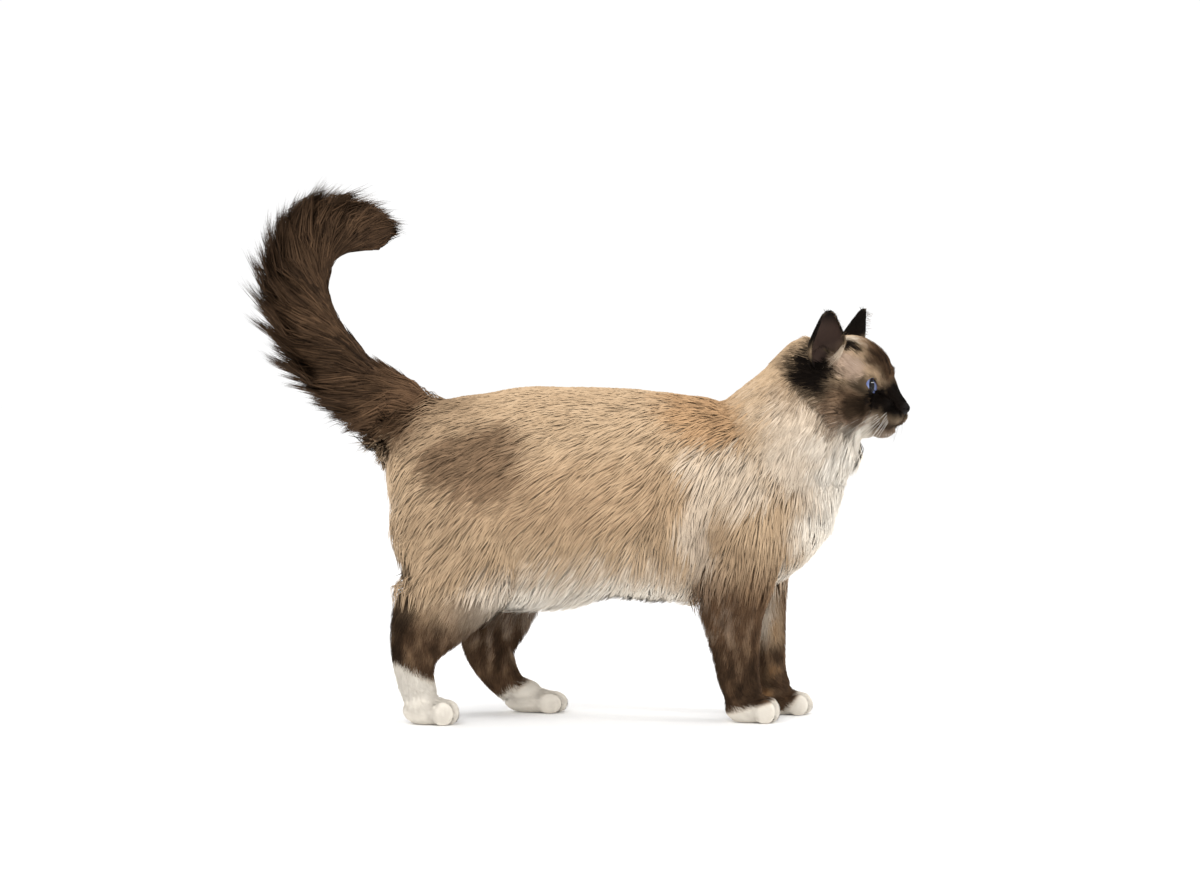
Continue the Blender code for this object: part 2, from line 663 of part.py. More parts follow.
def pieces_of(whole):
    """Parts the whole cat into its named pieces, each with a thin gap to the next."""
    made = {}
    made["head"] = part_off(whole, "head", lambda grow: half_space(*HEAD_PLANE, grow))
    made["neck"] = part_off(whole, "neck", lambda grow: half_space(*NECK_PLANE, grow))
    plume = part_off(whole, "tail", lambda grow: half_space(*TAIL_PLANES["tail_base"], grow))
    for name in ("tail_tip", "tail_upper", "tail_middle"):
        made[name] = part_off(plume, name, lambda grow: half_space(*TAIL_PLANES[name], grow))
    made["tail_base"] = plume
    for name, (outline, sign, shift, tilt, start) in LEGS.items():
        moved = [(x + shift, z) for x, z in outline]
        leg = part_off(whole, name, lambda grow: haunch(moved, sign, tilt, start, grow))
        foot = name.replace("leg", "paw")
        made[foot] = part_off(leg, foot, lambda grow: half_space((0, 0, WRIST), (0, 0, -1), grow))
        made[name] = leg
    made["torso"] = whole
    return made


# The lie of the coat, seen from the cat's right: x, z and the way the hair points, in degrees up from +X.
LIE = [
    (0.165, 0.305, 222), (0.190, 0.262, 238), (0.236, 0.226, 262), (0.212, 0.170, 284),
    (0.185, 0.130, 276), (0.130, 0.200, 240), (0.130, 0.140, 256), (0.110, 0.275, 196),
    (0.000, 0.282, 184), (-0.100, 0.272, 186), (-0.140, 0.258, 205), (0.030, 0.200, 208),
    (-0.050, 0.205, 204), (0.000, 0.140, 238), (0.050, 0.105, 262), (-0.030, 0.100, 258),
    (0.080, 0.160, 262), (-0.105, 0.220, 205), (-0.100, 0.160, 228), (-0.100, 0.110, 240),
    (-0.155, 0.180, 232), (-0.150, 0.130, 244), (-0.140, 0.060, 262), (0.130, 0.060, 262),
    (-0.070, 0.060, 256), (0.215, 0.262, 222), (0.238, 0.245, 236),
]  # fmt: skip
LOCK_SINK = 0.0030  # how deep a lock's root lies in the core
LOCK_STEPS = 10  # steps in which a lock is laid along the core
# Sections of a lock on the body and on the tail: share of its length, of its width and of its lift.
BODY_SECTIONS = ((-0.03, 0.55, 0.0), (0.34, 1.0, 0.50), (0.70, 0.70, 0.82), (1.0, 0.0, 1.0))
TAIL_SECTIONS = ((-0.06, 0.60, 0.0), (0.34, 1.0, 0.34), (0.70, 0.70, 0.72), (1.0, 0.0, 1.0))
LOCK_THICKNESS = 0.24  # of its width, from its middle to its ridge
LOCK_BELLY = 0.07  # of its width, from its middle to its flat underside

# Bands of locks: the form that they grow on, the stretch of its spine that they cover, the angles round it
# (0 at the cat's left, 90 at the top or front, 270 at the bottom or back), how many stand in a row, their
# length and width, and how far they hang off the surface.
BANDS = [
    ("torso", 0.14, 0.88, (-74, -50), 9, 0.037, 0.0190, 0.20),
    ("torso", 0.18, 0.84, (-26, 2), 7, 0.046, 0.0235, 0.08),
    ("rump", 0.20, 0.90, (-74, -44), 2, 0.038, 0.0190, 0.05),
    ("neck", 0.05, 0.72, (-80, -54, -28, -2), 4, 0.038, 0.0185, 0.10),
    ("cheek", 0.35, 0.65, (-58, -26), 2, 0.022, 0.0110, 0.05),
    ("hindleg", 0.14, 0.50, (-78, -42, -6), 3, 0.038, 0.0190, 0.10),
    ("hindleg", 0.20, 0.50, (30,), 2, 0.038, 0.0200, 0.10),
    ("foreleg", 0.14, 0.40, (-62, -16), 2, 0.036, 0.0180, 0.10),
    ("foreleg", 0.50, 0.74, (-84,), 2, 0.022, 0.0110, 0.00),
]
PLUME_ROWS = 12
PLUME_ANGLES = ((90, 48, 132, 6, 174), (69, 111, 27, 153))
PLUME_LOCK = (0.043, 0.0160)
LOWEST_LOCK = 0.004  # the floor is kept clear of locks up to this height
SEAM_ORDER = ("head", "neck", "torso", "tail_base", "tail_middle", "tail_upper", "tail_tip", "leg", "paw")


def form_rows(form):
    """The outer stations of a form that locks grow on, as rows for oval_loft, and its side of the cat."""
    if form == "torso":
        return torso_rows()
    if form == "neck":
        return neck_rows()
    if form == "tail":
        return tail_rows()
    if form == "rump":
        return smooth_line(RUMP, 4)
    if form == "cheek":
        place = head_matrix()
        rows = [(*(place @ Vector(row[:3])), *(size * MM for size in row[3:])) for row in CHEEKS]
        return smooth_line([(*row, *CHEEK_DEPTHS) for row in rows], 3)
    name, side = form.split("_")
    table = {
        "foreleg_right": FORELEG_RIGHT,
        "foreleg_left": FORELEG_LEFT,
        "hindleg_right": HINDLEG_RIGHT,
        "hindleg_left": HINDLEG_LEFT,
    }[form]
    return limb_rows(table, LEFT if side == "left" else RIGHT)


def spot_on(rows, share, degrees):
    """A point outside a form at a share of its spine and an angle round it, the way in from there, and the
    coat's depth."""
    place = share * (len(rows) - 1)
    i = min(int(place), len(rows) - 2)
    row = rows[i].lerp(rows[i + 1], place - i)
    along = (Vector(rows[i + 1][:3]) - Vector(rows[i][:3])).normalized()
    side = (Vector((0, 1, 0)) - along * along.y).normalized()
    up = along.cross(side)
    cos, sin = math.cos(math.radians(degrees)), math.sin(math.radians(degrees))
    k = 4 if sin > 0 else 5
    out = side * cos * row[3] + up * sin * row[k]
    depth = math.hypot(cos * row[6], sin * row[k + 3])
    way = out.normalized()
    return Vector(row[:3]) + out + way * 0.02, -way, depth


def body_lie(point):
    """The way the body's coat points at a place, from the guides round it."""
    way = Vector()
    for x, z, degrees in LIE:
        weight = ((point.x - x) ** 2 + (point.z - z) ** 2 + 1e-5) ** -1.5
        angle = math.radians(degrees)
        way += Vector((math.cos(angle), 0, math.sin(angle))) * weight
    return way.normalized()


def tail_lie(point):
    """The way the tail's coat points at a place: along the bone beside it, towards the tip."""
    rows = tail_rows()
    nearest = min(range(len(rows) - 1), key=lambda i: (Vector(rows[i][:3]) - point).length)
    return (Vector(rows[nearest + 1][:3]) - Vector(rows[nearest][:3])).normalized()


def nearest_core(cores, point):
    """The nearest point on the cores, its normal and its node."""
    best = None
    for name, tree in cores.items():
        spot, normal, _, distance = tree.find_nearest(point, 0.08)
        if spot and (best is None or distance < best[3]):
            best = (spot, normal, name, distance)
    return best


def hit_core(cores, start, way):
    """The first core that a ray meets within reach."""
    best = None
    for name, tree in cores.items():
        spot, normal, _, distance = tree.ray_cast(start, way, 0.09)
        if spot and (best is None or distance < best[3]):
            best = (spot, normal, name, distance)
    return best


def lock_sections(cores, root, normal, lie, length, width, lift, hang, turn):
    """Middle, side and outward directions and width of each section of a lock that runs along the coat."""
    spots = []
    point, out = root, normal
    stride = length / LOCK_STEPS
    for step in range(LOCK_STEPS + 1):
        way = lie(point)
        way = (way - out * way.dot(out)).normalized()
        way = (Matrix.Rotation(turn * step / LOCK_STEPS, 3, out) @ way).normalized()
        spots.append((point.copy(), out.copy(), way))
        ahead = nearest_core(cores, point + way * stride)
        if ahead is None or (ahead[0] - point).length < 0.3 * stride:
            point = point + way * stride
        else:
            point = ahead[0]
            out = (out + ahead[1]).normalized()
    sections = []
    for share, wide, rise in TAIL_SECTIONS if lie is tail_lie else BODY_SECTIONS:
        step = max(0, round(share * LOCK_STEPS))
        spot, out, way = spots[step]
        if share < 0:
            middle = spot + way * share * length - out * LOCK_SINK
        else:
            middle = spot + out * (lift * rise - LOCK_SINK * 0.3 * (1 - rise))
            middle += Vector((0, 0, -1)) * hang * length * share**2
        sections.append((middle, out.cross(way).normalized(), out, width * wide))
    return sections


def lock_mesh(sections, grow, stretch=1.0):
    """A flat tapered lock of three sides with a low ridge and a tip. Growth fattens it all round, and a
    stretch widens it."""
    bm = bmesh.new()
    rings = []
    for i, (middle, side, out, wide) in enumerate(sections):
        wide *= stretch
        if wide == 0:
            ahead = (middle - sections[i - 1][0]).normalized()
            rings.append([bm.verts.new(middle + ahead * grow * 3)])
            continue
        if i == 0:
            middle = middle - (sections[1][0] - middle).normalized() * grow
        half = wide / 2 + 2 * grow
        low = out * (LOCK_BELLY * wide + grow)
        ridge = out * (LOCK_THICKNESS * wide + 2 * grow)
        corners = (middle - side * half - low, middle + side * half - low, middle + ridge)
        rings.append([bm.verts.new(corner) for corner in corners])
    for first, second in zip(rings, rings[1:]):
        for k in range(3):
            n = (k + 1) % 3
            if len(second) == 1:
                bm.faces.new((first[k], first[n], second[0]))
            else:
                bm.faces.new((first[k], first[n], second[n]))
                bm.faces.new((first[k], second[n], second[k]))
    bm.faces.new(rings[0])
    bmesh.ops.recalc_face_normals(bm, faces=bm.faces)
    return bm


def lock_objects(locks, grow, stretch):
    """An object for each of several locks."""
    return [add_mesh("lock", lock_mesh(sections, grow, stretch)) for sections in locks]


def seam_rank(name):
    """Where a node comes in the order in which coats lie over the next node."""
    return next(i for i, part in enumerate(SEAM_ORDER) if part in name)


def plan_locks(made):
    """Finds the root, the node and the sections of every lock. Each lies clear of the nodes that come
    before its own, and may lie over those that come after."""
    rng = random.Random(SEED)
    cores = {name: surface_of(obj) for name, obj in made.items()}
    places = []
    for form, start, end, angles, count, length, width, hang in BANDS:
        forms = [form + "_left", form + "_right"] if "leg" in form else [form]
        for one in forms:
            rows = form_rows(one)
            mirrored = {"left": (LEFT,), "right": (RIGHT,)}.get(one.split("_")[-1], (LEFT, RIGHT))
            for row, angle in enumerate(angles):
                for k in range(count):
                    share = start + (end - start) * (k + 0.5 * (row % 2) + 0.25) / count
                    for sign in mirrored:
                        where = angle + rng.uniform(-5, 5)
                        where = where if sign == LEFT else 180 - where
                        share_here = share + rng.uniform(-0.12, 0.12) * (end - start) / count
                        places.append((rows, share_here, where, body_lie, length, width, hang))
    rows = form_rows("tail")
    for row in range(PLUME_ROWS):
        share = 0.06 + 0.80 * row / (PLUME_ROWS - 1)
        size = 1.0 if row < PLUME_ROWS - 2 else 0.7
        angles = PLUME_ANGLES[row % 2] if row < PLUME_ROWS - 2 else PLUME_ANGLES[row % 2][:3]
        for angle in angles:
            length, width = (extent * size for extent in PLUME_LOCK)
            places.append((rows, share, angle + rng.uniform(-6, 6), tail_lie, length, width, 0.0))
    plan = []
    for rows, share, angle, lie, length, width, hang in places:
        start, way, depth = spot_on(rows, min(max(share, 0.0), 1.0), angle)
        found = hit_core(cores, start, way)
        length *= rng.uniform(0.88, 1.12)
        width *= rng.uniform(0.88, 1.12)
        turn = math.radians(rng.uniform(-16, 16))
        if found is None or "paw" in found[2] or (lie is tail_lie) != ("tail" in found[2]):
            continue
        root, normal, node, _ = found
        if depth < 0.006:
            length *= 0.7
        for attempt in range(4):
            sections = lock_sections(cores, root, normal, lie, length, width, depth * CORE_SHARE, hang, turn)
            bm = lock_mesh(sections, GAP)
            body = BVHTree.FromBMesh(bm)
            bm.free()
            blocked = [
                name for name, tree in cores.items()
                if name != node and seam_rank(name) <= seam_rank(node) and body.overlap(tree)
            ]  # fmt: skip
            if not blocked:
                break
            ahead = lie(root)
            step = cores[node].find_nearest(root + (ahead - normal * ahead.dot(normal)).normalized() * 0.004)
            root, normal = step[0], step[1]
        if not blocked and min(section[0].z for section in sections) > LOWEST_LOCK:
            plan.append((node, sections))
    return plan


def grow_coat(made):
    """Joins the locks to their nodes, and cuts each node clear of the locks that lie over it."""
    plan = plan_locks(made)
    for name, obj in made.items():
        own = [sections for node, sections in plan if node == name]
        if own:
            sound_boolean(obj, "UNION", lambda stretch: lock_objects(own, 0, stretch))
    for name, obj in made.items():
        tree = surface_of(obj)
        near = []
        for node, sections in plan:
            if node != name:
                bm = lock_mesh(sections, GAP)
                if tree.overlap(BVHTree.FromBMesh(bm)):
                    near.append(sections)
                bm.free()
        if near:
            sound_boolean(obj, "DIFFERENCE", lambda stretch: lock_objects(near, GAP, stretch))


COATS = {
    "seal_coat": ((0.052, 0.033, 0.022), 0.85),
    "brown_coat": ((0.240, 0.160, 0.105), 0.85),
    "cream_coat": ((0.500, 0.370, 0.250), 0.85),
    "white_gloves": ((0.780, 0.720, 0.640), 0.85),
    "blue_eye": ((0.120, 0.200, 0.480), 0.10),
}
CREAM_NODES = ("neck", "torso")


def material_for(name):
    """The material of a piece, made once."""
    kind = "seal_coat"
    if name in CREAM_NODES:
        kind = "cream_coat"
    elif "leg" in name:
        kind = "brown_coat"
    elif "paw" in name:
        kind = "white_gloves"
    elif "eye" in name:
        kind = "blue_eye"
    if kind not in bpy.data.materials:
        colour, roughness = COATS[kind]
        material = bpy.data.materials.new(kind)
        material.use_nodes = True
        shader = material.node_tree.nodes["Principled BSDF"]
        shader.inputs["Base Color"].default_value = (*colour, 1)
        shader.inputs["Roughness"].default_value = roughness
        shader.inputs["Metallic"].default_value = 0
        material.diffuse_color = (*colour, 1)
    return bpy.data.materials[kind]


def set_in_place(made):
    """Names the pieces, gives each its material and its own origin, and centres the cat over the origin."""
    corners = [vertex.co for obj in made.values() for vertex in obj.data.vertices]
    low = Vector([min(corner[i] for corner in corners) for i in range(3)])
    high = Vector([max(corner[i] for corner in corners) for i in range(3)])
    shift = Vector((-(low.x + high.x) / 2, -(low.y + high.y) / 2, -low.z))
    for name, obj in made.items():
        obj.name = name
        obj.data.name = name
        obj.data.materials.clear()
        obj.data.materials.append(material_for(name))
        points = [vertex.co for vertex in obj.data.vertices]
        middle = Vector([(min(p[i] for p in points) + max(p[i] for p in points)) / 2 for i in range(3)])
        obj.data.transform(Matrix.Translation(-middle))
        obj.location = middle + shift
        cat.objects.link(obj)
        workshop.objects.unlink(obj)


def build():
    body = body_core()
    paws = [paw(*sizes) for sizes in PAWS.values()]
    head = head_form()
    whole = boolean(body, "UNION", [head, *paws])
    cut_eyes(whole)
    cut_mouth(whole)
    floor = slab((0, 0, -0.05), ((1, 0, 0), (0, 1, 0), (0, 0, 1)), (1, 1, 0.1))
    boolean(whole, "DIFFERENCE", [floor])
    largest_surface(whole)
    made = pieces_of(whole)
    grow_coat(made)
    for sign, side in ((LEFT, "left"), (RIGHT, "right")):
        made["ear_" + side] = largest_surface(ear(sign, 0))
        sound_boolean(made["head"], "DIFFERENCE", lambda stretch: [ear_pocket(sign)])
        sound_boolean(made["head"], "DIFFERENCE", lambda stretch: [ear(sign, GAP * stretch)])
        made["eye_" + side] = eyeball(sign)
    set_in_place(made)


build()
bpy.data.collections.remove(workshop)
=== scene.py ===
"""A standing seal point Birman cat at life size: its skin, eyes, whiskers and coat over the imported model."""

import math

import bmesh
import bpy
import numpy as np
from mathutils import Matrix, Vector, noise
from mathutils.bvhtree import BVHTree
from mathutils.kdtree import KDTree


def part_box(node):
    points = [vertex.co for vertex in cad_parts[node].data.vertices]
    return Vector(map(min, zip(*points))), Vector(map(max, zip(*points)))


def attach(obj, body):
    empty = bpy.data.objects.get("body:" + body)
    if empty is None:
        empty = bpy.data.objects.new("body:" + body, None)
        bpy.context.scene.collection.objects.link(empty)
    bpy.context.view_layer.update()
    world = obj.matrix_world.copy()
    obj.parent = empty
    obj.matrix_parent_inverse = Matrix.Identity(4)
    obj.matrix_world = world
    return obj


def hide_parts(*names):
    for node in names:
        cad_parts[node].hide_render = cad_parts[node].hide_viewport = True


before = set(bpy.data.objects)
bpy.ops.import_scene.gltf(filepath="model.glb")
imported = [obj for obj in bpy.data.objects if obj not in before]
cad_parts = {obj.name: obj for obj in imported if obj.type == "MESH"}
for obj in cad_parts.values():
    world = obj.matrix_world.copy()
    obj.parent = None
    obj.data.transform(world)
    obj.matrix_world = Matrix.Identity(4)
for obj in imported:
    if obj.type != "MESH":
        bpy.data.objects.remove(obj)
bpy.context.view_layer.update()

# The skin: flesh and hide of the whole animal in one closed surface, from nose to tail and down to the
# toes. Oval stations are lofted, voxel fused and relaxed. Each station says how deep the coat is there,
# and the skin lies that far inside the outline of the coat. Stations are in millimetres.
MM = 0.001
LEFT, RIGHT = 1, -1
# Torso stations: x, top and bottom of the coat, half width, coat depth at side, back and belly.
TORSO = [
    (-164.5, 229.8, 188, 16, 3, 4.5, 5),
    (-159.2, 247, 169, 32, 5, 4.5, 10),
    (-148, 269, 144, 50, 6.4, 4, 14),
    (-118, 278, 120, 64, 7, 3.2, 16),
    (-75, 282.5, 97, 72, 7, 2.4, 17),
    (-30, 284.5, 90.5, 76, 7, 2.4, 18),
    (15, 283.5, 101, 77, 7, 2.4, 18),
    (55, 280.5, 99.5, 75, 7, 3.2, 17),
    (95, 275, 96.5, 71, 7.2, 4, 16),
    (130, 266.8, 100, 67, 8, 6, 15),
    (162, 255, 107.5, 61, 9, 8, 15),
    (190, 232, 123, 50, 9.6, 9.6, 15),
    (210.5, 208, 145, 33, 9, 9.6, 14),
]
# Neck stations: x and z of the middle, half width, reach to nape and throat, coat at side, nape, throat.
NECK = [
    (120, 190, 60, 50, 85, 9, 6, 15),
    (142, 208, 61, 57, 84, 9.6, 5.6, 17),
    (166, 232, 59, 60.5, 68.5, 9.6, 4.8, 17),
    (190, 262, 54, 53, 60.5, 9, 4, 15),
    (204, 284, 45, 47, 51, 7.2, 3.2, 12),
    (211, 298, 38, 43, 37, 5.5, 3.2, 8),
    (217, 307, 30, 34, 30, 4.5, 3.2, 6),
]
# Limb stations: x, y off the middle, z, half width, reach forward and back, coat depth at side, front, back.
FORELEG_RIGHT = [
    (138, 36, 195, 26, 36, 44, 7.2, 7.2, 8.4),
    (134, 41, 158, 27, 36, 44, 7.2, 7.2, 10.8),
    (128, 41, 122, 23.5, 34, 36, 6, 4.8, 10.8),
    (127, 36, 90, 19, 27, 28, 4.2, 3.6, 7.8),
    (130, 32, 60, 16, 21.5, 22, 2.4, 2.4, 4.2),
    (134, 30, 36, 14.5, 17.5, 20, 2, 2, 2.4),
    (140, 29, 18, 13.5, 15, 17.5, 2, 2, 2),
]
FORELEG_LEFT = [
    (150, 36, 195, 26, 34, 40, 7.2, 7.2, 8.4),
    (152, 40, 158, 27, 31, 40, 7.2, 6, 10.8),
    (152, 39, 122, 23.5, 26, 34, 6, 4.8, 9.6),
    (154, 34, 90, 19, 22.5, 26, 4.2, 3.6, 6.6),
    (157, 29, 60, 16, 19.5, 21.5, 2.4, 2.4, 4.2),
    (161, 26, 36, 14.5, 15.8, 17.5, 2, 2, 2.4),
    (169, 25, 18, 13.5, 13.5, 16, 2, 2, 2),
]
HINDLEG_RIGHT = [
    (-110, 34, 226, 31, 46, 46, 8.4, 7.2, 13.2),
    (-108, 43, 192, 33, 54, 56, 9.6, 7.2, 15.6),
    (-105, 47, 156, 32, 53, 59.5, 9.6, 8.4, 16.8),
    (-108, 47, 122, 28, 50, 43, 8.4, 8.4, 15.6),
    (-119, 44, 92, 22, 33, 48, 6, 7.2, 9.6),
    (-136, 42, 66, 16.5, 20.5, 29, 3, 3.6, 3.6),
    (-140.5, 41, 44, 14, 17, 19, 2, 2, 2.4),
    (-139, 40, 22, 13.5, 20, 13.8, 2, 2, 2),
]
HINDLEG_LEFT = [
    (-90, 34, 226, 31, 46, 46, 8.4, 7.2, 13.2),
    (-76, 43, 188, 33, 54, 52, 9.6, 7.2, 15.6),
    (-64, 47, 150, 31, 46, 52, 9.6, 8.4, 15.6),
    (-64, 46, 116, 27, 36, 44, 8.4, 7.2, 13.2),
    (-74, 44, 86, 21.5, 33, 34, 6, 6, 8.4),
    (-83, 42, 60, 16, 29.5, 23.5, 3, 3.6, 3.6),
    (-73, 40, 36, 14, 18.5, 18.5, 2, 2, 2.4),
    (-58, 39, 18, 13.5, 13, 15, 2, 2, 2),
]
# Tail stations along the bone: x, z, half width, reach outward and inward, coat depth at side, out, in.
TAIL = [
    (-116, 242, 30, 30, 32, 18, 18, 12),
    (-138, 254, 30, 35, 32, 20, 23, 10),
    (-166, 279, 34, 47, 17.5, 25, 35, 4),
    (-193, 306, 36, 54, 11, 27, 43, 3),
    (-214.5, 335, 36, 59, 10.8, 27, 48, 3),
    (-225, 364, 35, 60, 11.5, 27, 50, 3),
    (-222, 391, 33, 55, 14, 25, 45, 3),
    (-207, 407, 29, 41, 16.8, 22, 33, 3),
    (-188, 411, 24, 27, 17.2, 17, 20, 4),
    (-174, 410, 15, 16, 14, 10, 10, 4),
    (-168, 409, 7, 8, 7, 3, 5, 2),
]
# Paws in metres: toe end's x, y off the middle, side, length, width and height.
PAWS = [
    (0.1675, 0.029, RIGHT, 0.046, 0.032, 0.024),
    (0.1985, 0.025, LEFT, 0.046, 0.032, 0.021),
    (-0.1030, 0.041, RIGHT, 0.047, 0.032, 0.023),
    (-0.0125, 0.038, LEFT, 0.054, 0.032, 0.020),
]
PAW_FUR = 0.0010
# Forms of a paw as shares of its length, width and height, from the heel: middle and radii.
PAW_FORMS = [((0.46, 0, 0.46), (0.50, 0.44, 0.58)), ((0.29, 0, 0.88), (0.31, 0.43, 0.60))]
TOE_ANGLES = (-48, -17, 17, 48)
TOE_RADII = (0.22, 0.17, 0.50)
# The head, in millimetres about its own middle, facing +X before it is turned towards the cat's right.
HEAD_MIDDLE = Vector((0.2260, 0.0, 0.2830))
HEAD_YAW = math.radians(-20)
EYE_RADIUS = 10.5
EYE_CENTRE = (19.5, 17.8, 1.0)
EYE_GAZE_OUT = math.radians(19)
EYE_OPENING = (17.5, 14.0)
LID_THICKNESS = 1.5
HEAD_PLACE = Matrix.Translation(HEAD_MIDDLE) @ Matrix.Rotation(HEAD_YAW, 4, "Z") @ Matrix.Scale(MM, 4)
# Forms of the head on the middle plane: centre, radii and the depth of the fur over each.
HEAD_FORMS = [
    ((-7, 0, 4), (42, 37, 38), 4.0),
    ((2, 0, 4), (40, 30, 40), 3.0),
    ((20, 0, 14), (21.5, 17, 9.5), 1.8),
    ((8, 0, -24), (33, 24, 21.5), 3.0),
    ((30, 0, -35.5), (12.5, 11, 9), 1.6),
    ((33, 0, -20), (19, 11, 13), 1.5),
    ((48, 0, -18), (6.5, 7.5, 5.5), 0.3),
]
# The same for forms on both sides: cheek, whisker pad, side of the muzzle, brow, root of the ear.
HEAD_SIDES = [
    ((2, 22, -14), (28, 20, 25), 5.0),
    ((35, 8.5, -25), (16, 11, 10), 1.4),
    ((24, 11, -16), (20, 12, 12), 1.5),
    ((17, 15, 11), (18, 12, 13), 2.0),
    ((-14, 30, 15), (15, 14, 15), 3.5),
]
# Stations of the bridge of the nose: x, y, z, half width, reach up and down. Its fur is thin.
BRIDGE_FUR = 0.8
BRIDGE = [
    (27, 0, 14, 12, 8, 10),
    (34, 0, 5, 9.5, 7.5, 10),
    (39, 0, -5, 8.5, 6.4, 10),
    (45, 0, -12.5, 7.5, 5.2, 8),
    (50, 0, -17, 6.5, 4.6, 6),
]
eye_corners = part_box("eye_left")
MIDDLE_SHIFT = (eye_corners[0] + eye_corners[1]) / 2 - HEAD_PLACE @ Vector(EYE_CENTRE)
MIDDLE_SHIFT.z = 0


def in_scene(name, content):
    """A mesh, curve, lamp or camera as an object in the scene."""
    made = bpy.data.objects.new(name, content)
    bpy.context.scene.collection.objects.link(made)
    return made


def as_object(name, bm):
    """A bmesh made an object in the scene, and freed."""
    mesh = bpy.data.meshes.new(name)
    bm.to_mesh(mesh)
    bm.free()
    return in_scene(name, mesh)


def apply_modifiers(piece):
    """The piece with its modifiers worked into its mesh."""
    graph = bpy.context.evaluated_depsgraph_get()
    mesh = bpy.data.meshes.new_from_object(piece.evaluated_get(graph))
    piece.modifiers.clear()
    piece.data = mesh
    return piece


def sphere(around, rings, radius=1):
    """A round ball as a bmesh, its faces in the order of their corners, which is the same in every run."""
    bm = bmesh.new()
    bmesh.ops.create_uvsphere(bm, u_segments=around, v_segments=rings, radius=radius)
    bm.verts.index_update()
    count = len(bm.verts)

    def order(face):
        """A number for a face from its three lowest corners."""
        low = sorted(vert.index for vert in face.verts)
        return (low[0] * count + low[1]) * count + low[2]

    bm.faces.sort(key=order)
    bm.faces.index_update()
    return bm


def ball(centre, radii, place, around=28, rings=18):
    """A stretched sphere, placed by a matrix."""
    bm = sphere(around, rings)
    bm.transform(place @ Matrix.Translation(centre) @ Matrix.Diagonal((*radii, 1)))
    return as_object("ball", bm)


def smooth_line(stations, steps):
    """Points on a smooth curve through rows of numbers, with so many steps between two rows."""
    rows = [Vector(row) for row in stations]
    rows = [rows[0] * 2 - rows[1], *rows, rows[-1] * 2 - rows[-2]]
    found = []
    for i in range(1, len(rows) - 2):
        a, b, c, d = rows[i - 1 : i + 3]
        for k in range(steps):
            t = k / steps
            bend = 2 * a - 5 * b + 4 * c - d
            found.append(0.5 * (2 * b + (c - a) * t + bend * t * t + (3 * b - a - 3 * c + d) * t**3))
    found.append(rows[-2])
    return found


def loft(rings):
    """A closed skin over rings of points, with a fan at either end."""
    bm = bmesh.new()
    made = [[bm.verts.new(point) for point in ring] for ring in rings]
    for first, second in zip(made, made[1:]):
        for i in range(len(first)):
            j = (i + 1) % len(first)
            bm.faces.new((first[i], first[j], second[j], second[i]))
    for ring, ends in ((made[0], rings[0]), (made[-1], rings[-1])):
        middle = bm.verts.new(sum(ends, Vector()) / len(ends))
        for i in range(len(ring)):
            bm.faces.new((ring[i], ring[(i + 1) % len(ring)], middle))
    bmesh.ops.recalc_face_normals(bm, faces=bm.faces)
    return as_object("loft", bm)


def oval_loft(rows, share, around=32):
    """A skin along a spine, inside the coat's outline by a share of the coat's depth."""
    rings = []
    for i, row in enumerate(rows):
        before, after = rows[max(i - 1, 0)], rows[min(i + 1, len(rows) - 1)]
        along = (Vector(after[:3]) - Vector(before[:3])).normalized()
        side = (Vector((0, 1, 0)) - along * along.y).normalized()
        up = along.cross(side)
        width, reach_up, reach_down = (row[k] - row[k + 3] * share for k in (3, 4, 5))
        ring = []
        for k in range(around):
            angle = 2 * math.pi * k / around
            reach = reach_up if math.sin(angle) > 0 else reach_down
            ring.append(Vector(row[:3]) + side * width * math.cos(angle) + up * reach * math.sin(angle))
        rings.append(ring)
    return loft(rings)


def fuse(pieces, name, voxel, smoothing):
    """One soft closed form from overlapping pieces."""
    bm = bmesh.new()
    for piece in pieces:
        bm.from_mesh(piece.data)
        bpy.data.objects.remove(piece)
    fused = as_object(name, bm)
    remesh = fused.modifiers.new("fuse", "REMESH")
    remesh.mode = "VOXEL"
    remesh.voxel_size = voxel
    relax = fused.modifiers.new("soften", "SMOOTH")
    relax.factor = 0.5
    relax.iterations = smoothing
    return apply_modifiers(fused)


def combine(piece, operation, others):
    """Joins other closed meshes to a piece, or cuts it by them, and removes them."""
    helpers = bpy.data.collections.new("operands")
    bpy.context.scene.collection.children.link(helpers)
    for other in others:
        helpers.objects.link(other)
        bpy.context.scene.collection.objects.unlink(other)
    step = piece.modifiers.new(operation.lower(), "BOOLEAN")
    step.operation = operation
    step.operand_type = "COLLECTION"
    step.collection = helpers
    step.solver = "MANIFOLD"
    apply_modifiers(piece)
    for other in others:
        bpy.data.objects.remove(other)
    bpy.data.collections.remove(helpers)
    return piece


def torso_rows():
    """The torso's stations with y and the middle of each, and the reach from there in place of its ends."""
    rows = []
    for row in TORSO:
        x, top, bottom, width, *depths = (value / 1000 for value in row)
        middle = bottom + 0.52 * (top - bottom)
        rows.append((x, 0, middle, width, top - middle, middle - bottom, *depths))
    return rows


def placed_rows(stations, sign=None):
    """Stations in metres, on the middle plane or off it to one side of the cat."""
    rows = [[value / 1000 for value in row] for row in stations]
    return [(x, 0, *rest) if sign is None else (x, rest[0] * sign, *rest[1:]) for x, *rest in rows]


SPINES = {
    "torso": torso_rows(),
    "neck": placed_rows(NECK),
    "tail": placed_rows(TAIL),
    "foreleg_right": placed_rows(FORELEG_RIGHT, RIGHT),
    "foreleg_left": placed_rows(FORELEG_LEFT, LEFT),
    "hindleg_right": placed_rows(HINDLEG_RIGHT, RIGHT),
    "hindleg_left": placed_rows(HINDLEG_LEFT, LEFT),
}
SPINES = {name: smooth_line(rows, 5) for name, rows in SPINES.items()}


